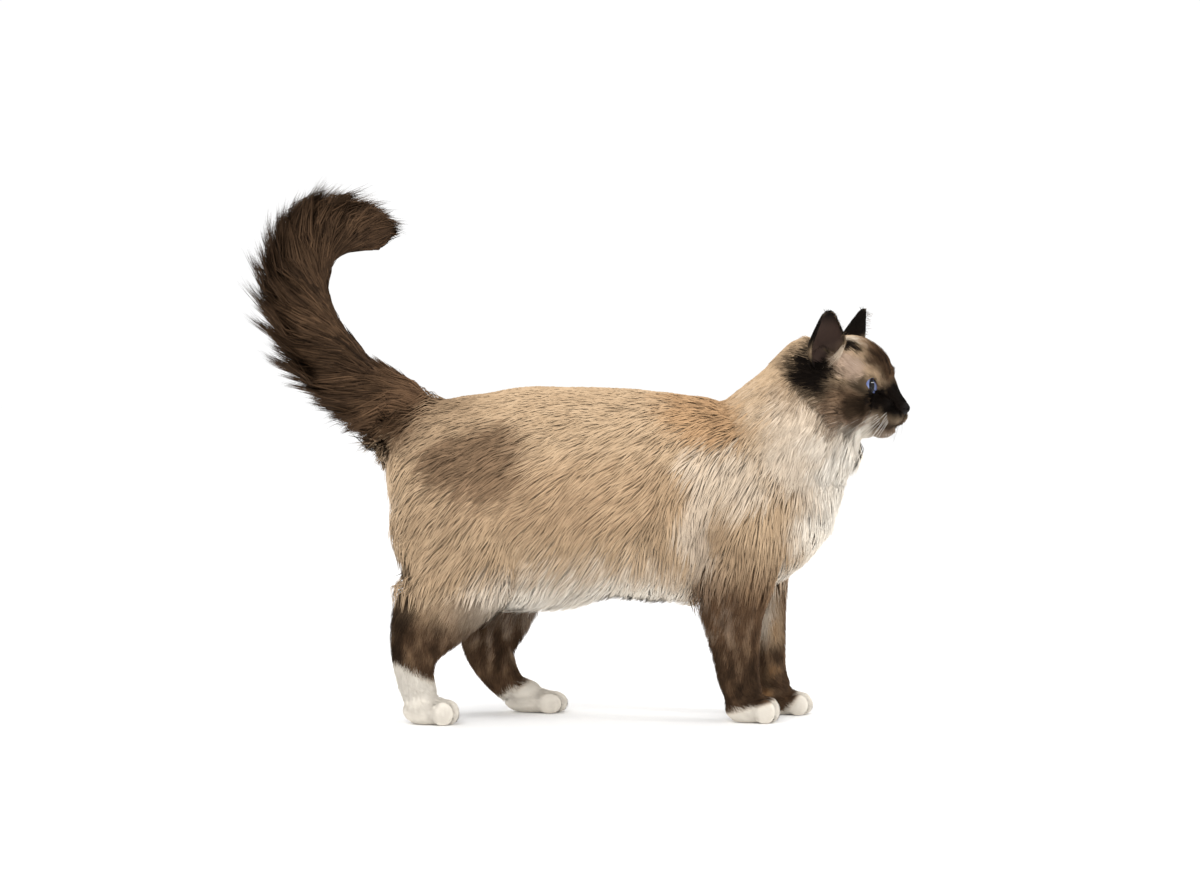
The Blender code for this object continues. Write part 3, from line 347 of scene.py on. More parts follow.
def paw(toe_x, off_middle, sign, length, width, height, inset, voxel):
    """A paw with four toes, inside the outline of its fur by an inset."""
    size = np.array((length, width, height))
    heel = np.array((toe_x - length, off_middle * sign, 0))
    forms = list(PAW_FORMS)
    for angle in TOE_ANGLES:
        turn = math.radians(angle)
        forms.append(((0.50 + 0.31 * math.cos(turn), 0.50 * math.sin(turn), 0.42), TOE_RADII))
    pieces = [ball(heel + size * spot, size * radii - inset, Matrix(), 20, 12) for spot, radii in forms]
    return fuse(pieces, "paw", voxel, 5)


def head_form(share, voxel, smoothing):
    """The head without ears, with a swelling for the lids round each eye."""
    lids = (EYE_CENTRE, (EYE_RADIUS + LID_THICKNESS,) * 3, 0.0)
    forms = list(HEAD_FORMS)
    for sign in (LEFT, RIGHT):
        forms += [((x, y * sign, z), radii, fur) for (x, y, z), radii, fur in (*HEAD_SIDES, lids)]
    pieces = [ball(spot, [r - share * fur for r in radii], HEAD_PLACE) for spot, radii, fur in forms]
    bridge = oval_loft(smooth_line([(*row, *(BRIDGE_FUR,) * 3) for row in BRIDGE], 5), share, 24)
    bridge.data.transform(HEAD_PLACE)
    return fuse([*pieces, bridge], "head", voxel, smoothing)


def whole_form(share, voxels, head_smoothing):
    """The animal without ears as one closed surface, at a share of the coat's depth below its outline.
    Voxels are those of the body, the paws and the head."""
    body = fuse([oval_loft(rows, share) for rows in SPINES.values()], "body", voxels[0], 6)
    paws = [paw(*sizes, PAW_FUR * share, voxels[1]) for sizes in PAWS]
    head = head_form(share, voxels[2], head_smoothing)
    return combine(body, "UNION", [head, *paws])


skin = whole_form(1.0, (0.0030, 0.0013, 0.0011), 5)
envelope = whole_form(0.0, (0.0040, 0.0030, 0.0025), 2)


# The openings of the head: an almond between the lids of each eye with a pinched inner corner, the line of
# the mouth, the cleft below the nose and the nostrils, all cut into the fused skin.
def gaze(sign):
    """The way an eye looks in the head's own frame, the way outward across it, and up."""
    forward = Vector((math.cos(EYE_GAZE_OUT), sign * math.sin(EYE_GAZE_OUT), 0.05)).normalized()
    outward = forward.cross(Vector((0, 0, 1))).normalized() * -sign
    return forward, outward, Vector((0, 0, 1)) - forward * forward.z


def eye_centre(sign):
    """The middle of an eyeball in the head's own frame."""
    x, y, z = EYE_CENTRE
    return Vector((x, y * sign, z))


LID_TAPER = 0.30
LID_SLANT = 0.22
PINCH_FROM = 0.78


def almond(sign, reach, count=36):
    """The outline between the lids, at a reach from the middle of the eye. It narrows to both corners,
    slants up outward and is pinched and drawn down at the inner corner."""
    forward, outward, up = gaze(sign)
    half_width, half_height = EYE_OPENING[0] / 2, EYE_OPENING[1] / 2
    ring = []
    for k in range(count):
        angle = 2 * math.pi * k / count
        across, rise = math.cos(angle), math.sin(angle)
        rise *= 1 - LID_TAPER * abs(across) ** 1.5
        pinch = max(0.0, -across - PINCH_FROM)
        across -= pinch * 1.1
        rise = rise * (1 - pinch * 2.2) + LID_SLANT * across - 0.7 * pinch
        spot = eye_centre(sign) + forward * reach + outward * half_width * across + up * half_height * rise
        ring.append(HEAD_PLACE @ spot)
    return ring


def rod(points, radius):
    """A round rod along a line of points, as a closed mesh."""
    curve = bpy.data.curves.new("rod", "CURVE")
    curve.dimensions = "3D"
    curve.bevel_depth = radius
    curve.bevel_resolution = 2
    curve.use_fill_caps = True
    spline = curve.splines.new("POLY")
    spline.points.add(len(points) - 1)
    for spot, point in zip(spline.points, points):
        spot.co = (*point, 1)
    made = in_scene("rod", curve)
    graph = bpy.context.evaluated_depsgraph_get()
    bm = bmesh.new()
    bm.from_mesh(bpy.data.meshes.new_from_object(made.evaluated_get(graph)))
    bpy.data.objects.remove(made)
    bmesh.ops.remove_doubles(bm, verts=bm.verts, dist=1e-6)
    bmesh.ops.recalc_face_normals(bm, faces=bm.faces)
    return as_object("rod", bm)


def tree_of(piece):
    """A search tree over a piece's own mesh."""
    bm = bmesh.new()
    bm.from_mesh(piece.data)
    tree = BVHTree.FromBMesh(bm)
    bm.free()
    return tree


SOCKET_GAP = 0.12
for sign in (LEFT, RIGHT):
    socket = ball(eye_centre(sign), (EYE_RADIUS + SOCKET_GAP,) * 3, HEAD_PLACE, 48, 32)
    opening = loft([almond(sign, 3.0), almond(sign, 20.0)])
    combine(skin, "DIFFERENCE", [socket, opening])

surface = tree_of(skin)


def on_head(x, y, z):
    """The place on the skin nearest a point of the head's own frame."""
    return surface.find_nearest(HEAD_PLACE @ Vector((x, y, z)))[0]


LIPS = [(24, 22, -29), (32, 19, -32.5), (40, 14, -34), (46, 7.5, -32.5), (50, 0, -30)]
lip_line = smooth_line([*[(x, -y, z) for x, y, z in LIPS], *LIPS[-2::-1]], 4)
cuts = [rod([on_head(*spot) for spot in lip_line], 0.6 * MM)]
cuts.append(rod([on_head(50, 0, z) for z in range(-30, -21, 2)], 0.45 * MM))
for sign in (LEFT, RIGHT):
    nostril, outward = on_head(54, 3.4 * sign, -18.5), on_head(50, 7.0 * sign, -18.2)
    cuts.append(ball(nostril, (2.0 * MM, 1.5 * MM, 1.3 * MM), Matrix(), 16, 12))
    cuts.append(rod([nostril, (nostril + outward) / 2, outward], 0.55 * MM))
for cut in cuts:
    combine(skin, "DIFFERENCE", [cut])


# The ears: thin cupped shells of gristle and hide, open forward and outward, grown into the head. The head
# is hollowed in front of each, so that the cup runs down into its pocket.
EAR_BASE, EAR_TIP = (-10, 31, 19), (-4.0, 52.5, 64.5)
EAR_FACING = math.radians(44)
EAR_WALL = 1.5
EAR_LIFT = 3.0
POCKET_REACH = 9.0
# Stations up an ear: share of its height, half width, depth of the cup, shift towards its rear edge.
EAR = [
    (-0.08, 3.0, 3.0, 9.0),
    (0.02, 8.0, 7.0, 5.5),
    (0.16, 13.5, 11.0, 2.5),
    (0.32, 17.0, 12.5, 0.5),
    (0.48, 16.0, 11.0, 0.3),
    (0.72, 10.9, 7.0, 0.3),
    (0.90, 6.8, 3.5, 0.0),
    (0.97, 4.4, 2.0, 0.0),
    (1.00, 2.2, 1.0, 0.0),
]
EAR_ROWS = smooth_line(EAR, 4)


def ear_frame(sign):
    """An ear's base, its axis up to the tip, the way it opens and the way across it to its front edge."""
    base, tip = (Vector((x, y * sign, z)) for x, y, z in (EAR_BASE, EAR_TIP))
    up = (tip - base).normalized()
    opening = Vector((math.cos(EAR_FACING), math.sin(EAR_FACING) * sign, 0))
    opening = (opening - up * opening.dot(up)).normalized()
    return base, tip - base, opening, up.cross(opening) * -sign


def ear_spot(sign, row, share, offset=0.0):
    """A place on an ear's middle sheet, or in front of it by an offset. Share is 1 at the front edge."""
    base, axis, opening, forward = ear_frame(sign)
    rise, half, cup, shift = row
    spot = base + axis * rise + forward * (half * math.sin(share * math.pi / 2) - shift)
    return spot - opening * (cup * math.cos(share * math.pi / 2) - EAR_LIFT - offset)


def ear_sheet(sign, offset=0.0, columns=25):
    """The curved middle sheet of an ear, or a sheet that lies in front of it by an offset."""
    bm = bmesh.new()
    grid = []
    for row in EAR_ROWS:
        shares = [2 * k / (columns - 1) - 1 for k in range(columns)]
        grid.append([bm.verts.new(HEAD_PLACE @ ear_spot(sign, row, share, offset)) for share in shares])
    for low, high in zip(grid, grid[1:]):
        for k in range(columns - 1):
            bm.faces.new((low[k], low[k + 1], high[k + 1], high[k]))
    return as_object("ear", bm)


def ear_pocket(sign, columns=15):
    """What is cut from the head in front of an ear."""
    opening = ear_frame(sign)[2]
    rings = []
    for row in EAR_ROWS[:20]:
        ring = [ear_spot(sign, row, 2 * k / (columns - 1) - 1) for k in range(columns)]
        ring += [ring[-1] + opening * POCKET_REACH, ring[0] + opening * POCKET_REACH]
        rings.append([HEAD_PLACE @ spot for spot in ring])
    return loft(rings)


ear_linings = []
for sign in (LEFT, RIGHT):
    combine(skin, "DIFFERENCE", [ear_pocket(sign)])
    shell = ear_sheet(sign)
    wall = shell.modifiers.new("wall", "SOLIDIFY")
    wall.thickness = EAR_WALL * MM
    wall.offset = 0
    apply_modifiers(shell)
    bm = bmesh.new()
    bm.from_mesh(shell.data)
    bmesh.ops.recalc_face_normals(bm, faces=bm.faces)
    bm.to_mesh(shell.data)
    bm.free()
    combine(skin, "UNION", [shell])
    lining = ear_sheet(sign, EAR_WALL / 2)
    ear_linings.append(tree_of(lining))
    bpy.data.objects.remove(lining)
# The soles are cut flat.
SOLE_HEIGHT = 0.5 * MM
CUT_DEPTH = 0.1
floor_box = bmesh.new()
bmesh.ops.create_cube(floor_box, size=1)
floor_box.transform(Matrix.Diagonal((1, 1, CUT_DEPTH, 1)))
floor_box.transform(Matrix.Translation((0, 0, SOLE_HEIGHT - CUT_DEPTH / 2)))
combine(skin, "DIFFERENCE", [as_object("floor_box", floor_box)])

# One surface is kept of the skin, in triangles, with its points and normals at hand for the coat.
bm = bmesh.new()
bm.from_mesh(skin.data)
bmesh.ops.triangulate(bm, faces=bm.faces)
left_over = set(bm.faces)
largest = []
while left_over:
    stack = [left_over.pop()]
    island = list(stack)
    while stack:
        for edge in stack.pop().edges:
            for face in edge.link_faces:
                if face in left_over:
                    left_over.remove(face)
                    stack.append(face)
                    island.append(face)
    largest = max(largest, island, key=len)
kept = set(largest)
bmesh.ops.delete(bm, geom=[face for face in bm.faces if face not in kept], context="FACES")
bm.normal_update()
bm.to_mesh(skin.data)
bm.free()
skin.name = "skin"
skin.data.name = "skin"


def rows_of(items, what, kind=float):
    """Three numbers of every point or every triangle of a mesh, as an array of rows."""
    found = np.zeros(len(items) * 3, kind)
    items.foreach_get(what, found)
    return found.reshape(-1, 3)


hide = rows_of(skin.data.vertices, "co")
hide_normals = rows_of(skin.data.vertices, "normal")
corners = rows_of(skin.data.polygons, "vertices", np.int64)
envelope_tree = tree_of(envelope)
bpy.data.objects.remove(envelope)
EAR_FUR = 1.0 * MM


def depth_at(point, normal):
    """How deep the coat is over a point of the hide: straight out to its outline where that is near."""
    nearest = envelope_tree.find_nearest(point)[3]
    out = envelope_tree.ray_cast(point + normal * 1e-5, normal, 0.06)[3]
    return nearest if out is None else min(out, 1.9 * nearest)


coat_depth = np.array([depth_at(vert.co, vert.normal) for vert in skin.data.vertices])
in_ears = np.zeros(len(hide), bool)
for lining in ear_linings:
    in_ears |= np.array([lining.find_nearest(vert.co, 0.0026)[0] is not None for vert in skin.data.vertices])
coat_depth[in_ears] = EAR_FUR
# Below the root of the tail the coat lies close.
RUMP_COAT = 9 * MM
on_rump = (hide[:, 0] < -0.135) & (hide[:, 2] > 0.195) & (hide[:, 2] < 0.232)
coat_depth[on_rump] = np.minimum(coat_depth[on_rump], RUMP_COAT)


# The markings of a seal point: dark face, ears, legs and tail on a pale beige body, cream below and on the
# ruff, and four white feet. Soft round patches give each point of the hide, and each hair that grows
# there, its share of each colour.
def soft_step(low, high, value):
    """0 below the low end, 1 above the high end, smooth between. The ends may be swapped."""
    t = np.clip((value - low) / (high - low), 0, 1)
    return t * t * (3 - 2 * t)


def patch(points, centre, radii, edge=0.35):
    """1 inside a round patch and 0 outside it, with an edge as wide as a share of its size. It is the same
    on both sides of the cat where the centre is given on the left."""
    offset = np.abs(points * (1, 0, 1) + (0, 1, 0) * np.abs(points) - centre) / radii
    return soft_step(1 + edge, 1 - edge, np.sqrt((offset**2).sum(1)))


def beyond(points, place, way):
    """How far points lie beyond a plane, along its normal."""
    normal = np.array(way) / np.linalg.norm(way)
    return (points - np.array(place)) @ normal


def to_head(points):
    """Places in the head's own millimetres."""
    inverse = np.array(HEAD_PLACE.inverted())
    return points @ inverse[:3, :3].T + inverse[:3, 3]


def bent(points, reach, wave):
    """Places moved to and fro by a reach, in waves of a length, so that the edges of patches wander."""
    slow = np.sin(2 * math.pi * points[:, [2, 0, 1]] / wave)
    quick = np.sin(2 * math.pi * points[:, [1, 2, 0]] / (0.41 * wave))
    return points + reach * (slow + 0.5 * quick)


# Patches by colour and frame: centre, radii and strength, in millimetres. Seal is the black-brown of the
# points and dark is seal that light spots leave alone. Brown is the dusky shade between seal and beige, tan
# is golden, and light is the buff over the eyes.
PATCHES = {
    ("cream", "body"): [
        ((222, 0, 185), (50, 70, 90), 1.0),
        ((195, 0, 235), (55, 90, 50), 0.45),
        ((190, 0, 120), (34, 34, 50), 0.9),
        ((10, 0, 86), (125, 100, 56), 1.0),
        ((98, 75, 160), (15, 50, 75), 0.38),
        ((130, 60, 205), (24, 50, 30), 0.35),
        ((-165, 0, 170), (20, 60, 45), 0.20),
        # Painted light: this cream patch lightens the inner face of the far foreleg, which lies in the near
        # foreleg's shade.
        ((156, 16, 105), (12, 12, 42), 0.55),
    ],
    ("tan", "body"): [
        ((100, 30, 256), (38, 50, 24), 0.50),
        ((0, 75, 190), (110, 60, 30), 0.12),
        ((163, 10, 38), (13, 10, 22), 0.9),
    ],
    ("brown", "body"): [
        ((62, 70, 172), (14, 50, 45), 0.20),
        ((-30, 70, 165), (50, 50, 30), 0.12),
        ((-90, 70, 222), (48, 50, 40), 0.80),
        ((-120, 0, 250), (50, 60, 34), 0.40),
        ((118, 60, 140), (26, 50, 36), 0.40),
        ((-110, 60, 150), (50, 50, 60), 0.15),
        ((185, 20, 285), (20, 60, 20), 0.30),
    ],
    ("seal", "body"): [
        ((-157, 45, 75), (14, 50, 45), 0.8),
        ((-100, 30, 85), (14, 40, 30), 0.4),
    ],
    ("seal", "head"): [
        ((40, 0, -12), (25, 34, 20), 1.0),
        ((26, 20, -9), (16, 16, 14), 1.0),
        ((14, 30, -14), (15, 12, 9), 0.85),
        ((4, 34, -20), (12, 10, 6), 0.7),
        ((36, 10, -30), (14, 14, 8), 0.7),
    ],
    ("dark", "head"): [
        ((17, 28, 4), (12, 11, 9), 0.85),
        ((24, 13, 13), (9, 8, 5), 0.75),
        ((28, 8, 20), (13, 13, 15), 0.50),
        ((30, 5, 22), (12, 2.6, 13), 0.85),
        ((24, 11, 25), (11, 2.6, 12), 0.80),
        ((20, 17, 22), (8, 2.4, 8), 0.60),
        ((22, 0, 34), (12, 2.4, 8), 0.7),
        ((-19, 35, 12), (21, 24, 29), 1.0),
        ((-26, 33, -6), (15, 19, 12), 0.55),
        ((6, 17, 35), (8, 8, 7), 1.0),
        ((-12, 40, 52), (26, 30, 27), 1.0),
    ],
    ("brown", "head"): [
        ((2, 34, -18), (28, 20, 20), 0.9),
        ((28, 0, 22), (22, 20, 22), 1.0),
        ((34, 0, -36), (18, 20, 12), 0.80),
    ],
    ("light", "head"): [
        ((5, 29, 18), (16, 13, 10), 0.95),
    ],
    ("cream", "head"): [
        ((9, 11, 40), (11, 7, 4), 0.60),
        ((-20, 30, -44), (34, 34, 16), 0.7),
    ],
}

# Where the tail leaves the body, as a plane: a place on it and the way along the tail.
TAIL_ROOT = ((-0.145, 0, 0.250), (-0.80, 0, 0.60))
# The edge of the white on each foot, likewise, with the way down to the toes.
GLOVE_EDGES = [
    ((0.150, -0.029, 0.0150), (0.28, 0, -1)),
    ((0.183, 0.025, 0.0140), (1.0, 0, -0.75)),
    ((-0.138, -0.041, 0.0400), (-0.50, 0, -1)),
    ((-0.052, 0.038, 0.0230), (0.60, 0, -1)),
]
STREAK_WIDTH = 7 * MM
STREAK_STRETCH = 0.4
# How far the edges of patches wander and over what length, in each frame's own measure.
HEAD_WANDER = (1.2, 17)
BODY_WANDER = (0.006, 0.052)


def cloudy(points, size):
    """A soft random field with lumps of a size, mostly between -1 and 1."""
    return np.array([noise.noise(Vector(point / size)) for point in points]) * 1.6


def white_feet(points):
    """1 on the white gloves and on the soles, 0 above them."""
    gloves = np.zeros(len(points))
    for place, way in GLOVE_EDGES:
        near = (np.abs(points[:, 0] - place[0]) < 0.05) & (points[:, 1] * place[1] > 0)
        gloves = np.maximum(gloves, near * soft_step(-0.0025, 0.0025, beyond(points, place, way)))
    return np.maximum(gloves, soft_step(0.004, 0.002, points[:, 2]))


def markings(points):
    """The shares of each colour at points of the hide."""
    frames = {"head": bent(to_head(points), *HEAD_WANDER), "body": bent(points, *BODY_WANDER)}
    x, y, z = points.T
    shares = {colour: np.zeros(len(points)) for colour in ("seal", "brown", "tan", "cream", "light", "dark")}
    for (colour, where), patches in PATCHES.items():
        scale = 1 if where == "head" else 1000
        for centre, radii, strength in patches:
            found = strength * patch(frames[where], np.array(centre) / scale, np.array(radii) / scale)
            shares[colour] = np.maximum(shares[colour], found)
    up_tail = beyond(points, *TAIL_ROOT)
    plume = soft_step(-0.026, 0.008, up_tail) * soft_step(0.215, 0.240, z)
    plume_end = soft_step(0.010, 0.060, up_tail) * plume
    fore = soft_step(0.084, 0.100, x) * soft_step(0.160, 0.105, z + 0.6 * np.maximum(x - 0.165, 0))
    hind = soft_step(0.02, -0.01, x) * soft_step(0.110, 0.070, z + 0.25 * (x + 0.13) * (y < 0))
    wrist = fore * soft_step(0.085, 0.030, z)
    hock = hind * soft_step(0.095, 0.065, z)
    # The dark of the tail and the legs comes in streaks along the hair, with tan between them on the legs.
    streaks = cloudy(points * (1, 1, STREAK_STRETCH), STREAK_WIDTH)
    dusky = np.max([0.45 * plume_end + 0.12 * plume, 0.55 * wrist, 0.30 * hock], axis=0)
    dusky = np.where(dusky > 0.02, np.clip(dusky + 0.30 * streaks, 0, 1), 0)
    golden = 0.5 * np.clip(-streaks, 0, 1) * (fore + hind) * soft_step(0.02, 0.05, z)
    shares["brown"] = np.max([shares["brown"], plume, fore, hind], axis=0)
    shares["seal"] = np.maximum(shares["seal"], dusky)
    shares["tan"] = np.maximum(shares["tan"], golden)
    inner = soft_step(0.030, 0.018, np.abs(y)) * soft_step(0.045, 0.070, z) * (z < 0.15) * (x > 0)
    gloves = white_feet(points)
    pale = 1 - np.maximum(shares["light"], gloves)
    plain = 1 - 0.8 * shares["tan"]
    seal = np.maximum(shares["seal"] * pale * plain * (1 - 0.8 * inner), shares["dark"])
    return {
        "cream": shares["cream"] * (1 - seal),
        "tan": shares["tan"] * pale,
        "brown": shares["brown"] * (1 - 0.90 * inner) * plain * pale,
        "seal": seal,
        "light": shares["light"] * (1 - gloves) * (1 - shares["dark"]),
        "glove": gloves,
    }


def linear(code):
    """An sRGB hex colour in linear light."""
    parts = [int(code[i : i + 2], 16) / 255 for i in (1, 3, 5)]
    return (*[part / 12.92 if part <= 0.04045 else ((part + 0.055) / 1.055) ** 2.4 for part in parts], 1)


def add_node(tree, kind, settings, links=None):
    """A node with its settings, by input name or number or by its own property, and links to its inputs."""
    made = tree.nodes.new(kind)
    for name, value in settings.items():
        if isinstance(name, int) or name in made.inputs:
            made.inputs[name].default_value = value
        else:
            setattr(made, name, value)
    for name, source in (links or {}).items():
        tree.links.new(source, made.inputs[name])
    return made


def new_material(name, roughness, **constants):
    """A material with a Principled shader whose constants are set on its own sockets."""
    made = bpy.data.materials.new(name)
    made.use_nodes = True
    shader = made.node_tree.nodes["Principled BSDF"]
    shader.inputs["Roughness"].default_value = roughness
    for socket, value in constants.items():
        shader.inputs[socket.replace("_", " ")].default_value = value
    return made, made.node_tree, shader


def mixed(tree, first, second, factor):
    """A colour that goes from the first to the second by a factor. Each is a hex colour or a socket."""
    made = add_node(tree, "ShaderNodeMix", {"data_type": "RGBA"}, {0: factor})
    for socket, colour in ((6, first), (7, second)):
        if isinstance(colour, str):
            made.inputs[socket].default_value = linear(colour)
        else:
            tree.links.new(colour, made.inputs[socket])
    return made.outputs[2]


def share_of(tree, name):
    """The socket of a number that each point carries."""
    return add_node(tree, "ShaderNodeAttribute", {"attribute_name": name}).outputs["Fac"]


def worked_out(tree, operation, first, second=0.0, third=0.0):
    """A socket for a sum, product or other operation on sockets and plain numbers."""
    made = add_node(tree, "ShaderNodeMath", {"operation": operation})
    for i, value in enumerate((first, second, third)):
        if isinstance(value, (int, float)):
            made.inputs[i].default_value = value
        else:
            tree.links.new(value, made.inputs[i])
    return made.outputs[0]


# The palest and the darkest tone of each colour of the coat. It is beige where no other has a share.
BEIGE = ("#d0b493", "#a58a6c")
COAT_COLOURS = {
    "cream": ("#f7f0e4", "#e6d9c6"),
    "tan": ("#c3925e", "#8a5f3a"),
    "brown": ("#7e6148", "#38291e"),
    "seal": ("#1a130e", "#030202"),
    "light": ("#cbb29e", "#a18977"),
    "glove": ("#e9e2d6", "#dcd3c5"),
}
DRIFT_SIZE = 9 * MM
HAIRS_IN_TUFT = 5.0
# How far the tone goes with the lock, the drift and the hairs, and where it starts.
LOCK_TONE, DRIFT_TONE, HAIR_TONE, FIRST_TONE = 0.44, 0.60, 0.62, -0.36


def texture(tree, settings, way_in, source):
    """A noise texture's number at the places that a socket gives."""
    return add_node(tree, "ShaderNodeTexNoise", settings, {way_in: source}).outputs["Fac"]


def coat_colour(tree):
    """The colour of hide and hair from the shares that each point carries, the tone of its own lock, the
    fine hairs side by side in each tuft and a slow drift of tone over the body."""
    place = add_node(tree, "ShaderNodeTexCoord", {}).outputs["Object"]
    drift = texture(tree, {"Scale": 1 / DRIFT_SIZE, "Detail": 3.0}, "Vector", place)
    fine = {"noise_dimensions": "1D", "Scale": HAIRS_IN_TUFT, "Detail": 1.0}
    hairs = texture(tree, fine, "W", share_of(tree, "hair"))
    tone = worked_out(tree, "MULTIPLY_ADD", share_of(tree, "tone"), LOCK_TONE, FIRST_TONE)
    tone = worked_out(tree, "MULTIPLY_ADD", drift, DRIFT_TONE, tone)
    tone = worked_out(tree, "MULTIPLY_ADD", hairs, HAIR_TONE, tone)
    tone = add_node(tree, "ShaderNodeClamp", {}, {"Value": tone}).outputs[0]
    colour = mixed(tree, *BEIGE, tone)
    for name, shades in COAT_COLOURS.items():
        colour = mixed(tree, colour, mixed(tree, *shades, tone), share_of(tree, name))
    return colour


# Bare hide shows only on the nose, the lips, the rims of the lids and inside the ears. Elsewhere it lies
# below the coat and carries the coat's own colours, with the fine bump of short flat fur.
skin_material, tree, shader = new_material("haired_hide", 0.62, Specular_IOR_Level=0.08)
colour = coat_colour(tree)
for name, shade in (("bare_pink", "#4a3a33"), ("leather", "#171312"), ("inner_corner", "#c8a08c")):
    colour = mixed(tree, colour, shade, share_of(tree, name))
tree.links.new(colour, shader.inputs["Base Color"])
FINE_FUR = 0.9 * MM
FUR_RELIEF = 0.4 * MM
place = add_node(tree, "ShaderNodeTexCoord", {}).outputs["Object"]
fuzz = texture(tree, {"Scale": 1 / FINE_FUR, "Detail": 2.0}, "Vector", place)
bump = add_node(tree, "ShaderNodeBump", {"Strength": 0.5, "Distance": FUR_RELIEF}, {"Height": fuzz})
tree.links.new(bump.outputs["Normal"], shader.inputs["Normal"])
skin.data.materials.clear()
skin.data.materials.append(skin_material)


def carry(mesh, name, values):
    """Gives every point of a mesh a number that its material can read."""
    mesh.attributes.new(name, "FLOAT", "POINT").data.foreach_set("value", np.asarray(values, np.float32))


def smooth_shaded(mesh):
    """Gives a mesh soft shading."""
    mesh.polygons.foreach_set("use_smooth", np.ones(len(mesh.polygons), bool))


def on_lining(points):
    """Whether points lie on the bare inside of an ear."""
    found = np.zeros(len(points), bool)
    for lining in ear_linings:
        gaps = [lining.find_nearest(Vector(point), 1.2 * MM)[3] for point in points]
        found |= np.array([gap is not None and gap < 0.6 * MM for gap in gaps])
    return found


def from_eyes(points, forward=0.0, outward=0.0, up=0.0):
    """How far points of the head's frame are from the nearer eye, or from a spot set off from its middle."""
    gaps = []
    for sign in (LEFT, RIGHT):
        ahead, across, _ = gaze(sign)
        spot = eye_centre(sign) + ahead * forward + across * outward + Vector((0, 0, up))
        gaps.append(np.linalg.norm(points - np.array(spot), axis=1))
    return np.min(gaps, axis=0)


def from_nose(points, radii):
    """How far points of the head's frame are from the nose leather's middle, in shares of its radii."""
    return np.linalg.norm((points - (53, 0, -18.5)) / radii, axis=1)


EAR_RISE = 46.5
in_head = to_head(hide)
rim = 0.3 + 0.7 * soft_step(0.65, 0.95, (in_head[:, 2] - EAR_BASE[2]) / EAR_RISE)
lids = soft_step(EYE_RADIUS + 1.3, EYE_RADIUS + 1.0, from_eyes(in_head))
hide_looks = {
    **markings(hide),
    "tone": np.full(len(hide), 0.5),
    "hair": np.zeros(len(hide)),
    "bare_pink": on_lining(hide) * (1 - rim),
    "leather": np.maximum(soft_step(1.1, 0.9, from_nose(in_head, (5.5, 8.0, 4.5))), lids),
    "inner_corner": soft_step(3.4, 1.8, from_eyes(in_head, 7, -9.5, -3)),
}
for name, values in hide_looks.items():
    carry(skin.data, name, values)
smooth_shaded(skin.data)


# The eyes: a ball with a flat blue iris of fine rays and an upright oval pupil, deep below a clear wet
# cornea. Each ball carries its own across and up measures, so that the iris faces the way it looks.
IRIS_PLANE = 6.2
IRIS_RADIUS = math.sqrt(EYE_RADIUS**2 - IRIS_PLANE**2)
CORNEA_BULGE = 1.10
CORNEA_SEAT = 0.25  # how far the cornea reaches below the iris
CORNEA_GAP = 0.02
PUPIL = (3.0, 5.2)
eye_material, tree, shader = new_material("wet_iris", 0.60, Specular_IOR_Level=0.0)
across, rise = share_of(tree, "across"), share_of(tree, "rise")


def span(tree, first, second):
    """The length of the longest side of a right triangle with the two other sides given."""
    squares = [worked_out(tree, "MULTIPLY", side, side) for side in (first, second)]
    return worked_out(tree, "SQRT", worked_out(tree, "ADD", *squares))


spread = span(tree, across, rise)
turn = worked_out(tree, "ARCTAN2", rise, across)
slow = worked_out(tree, "MULTIPLY", spread, 0.12)
rays_at = add_node(tree, "ShaderNodeCombineXYZ", {}, {"X": turn, "Y": slow})
rays = texture(tree, {"Scale": 9.0, "Detail": 3.0}, "Vector", rays_at.outputs[0])
towards_rim = worked_out(tree, "DIVIDE", spread, IRIS_RADIUS)
ring = add_node(tree, "ShaderNodeMapRange", {1: 0.30, 2: 1.0}, {0: towards_rim})
iris = mixed(tree, "#93a4dc", "#5468b4", ring.outputs[0])
iris = mixed(tree, iris, "#c3cdf2", worked_out(tree, "MULTIPLY", rays, 0.35))
edge = add_node(tree, "ShaderNodeMapRange", {1: IRIS_RADIUS - 1.0, 2: IRIS_RADIUS - 0.2}, {0: spread})
iris = mixed(tree, iris, "#14151c", edge.outputs[0])
oval = span(tree, *[worked_out(tree, "DIVIDE", side, half) for side, half in zip((across, rise), PUPIL)])
open_dark = add_node(tree, "ShaderNodeMapRange", {1: 0.94, 2: 1.06, 3: 1.0, 4: 0.0}, {0: oval})
iris = mixed(tree, iris, "#030305", open_dark.outputs[0])
tree.links.new(iris, shader.inputs["Base Color"])
cornea_material, tree, shader = new_material("clear_cornea", 0.01, Transmission_Weight=1.0, IOR=1.336)
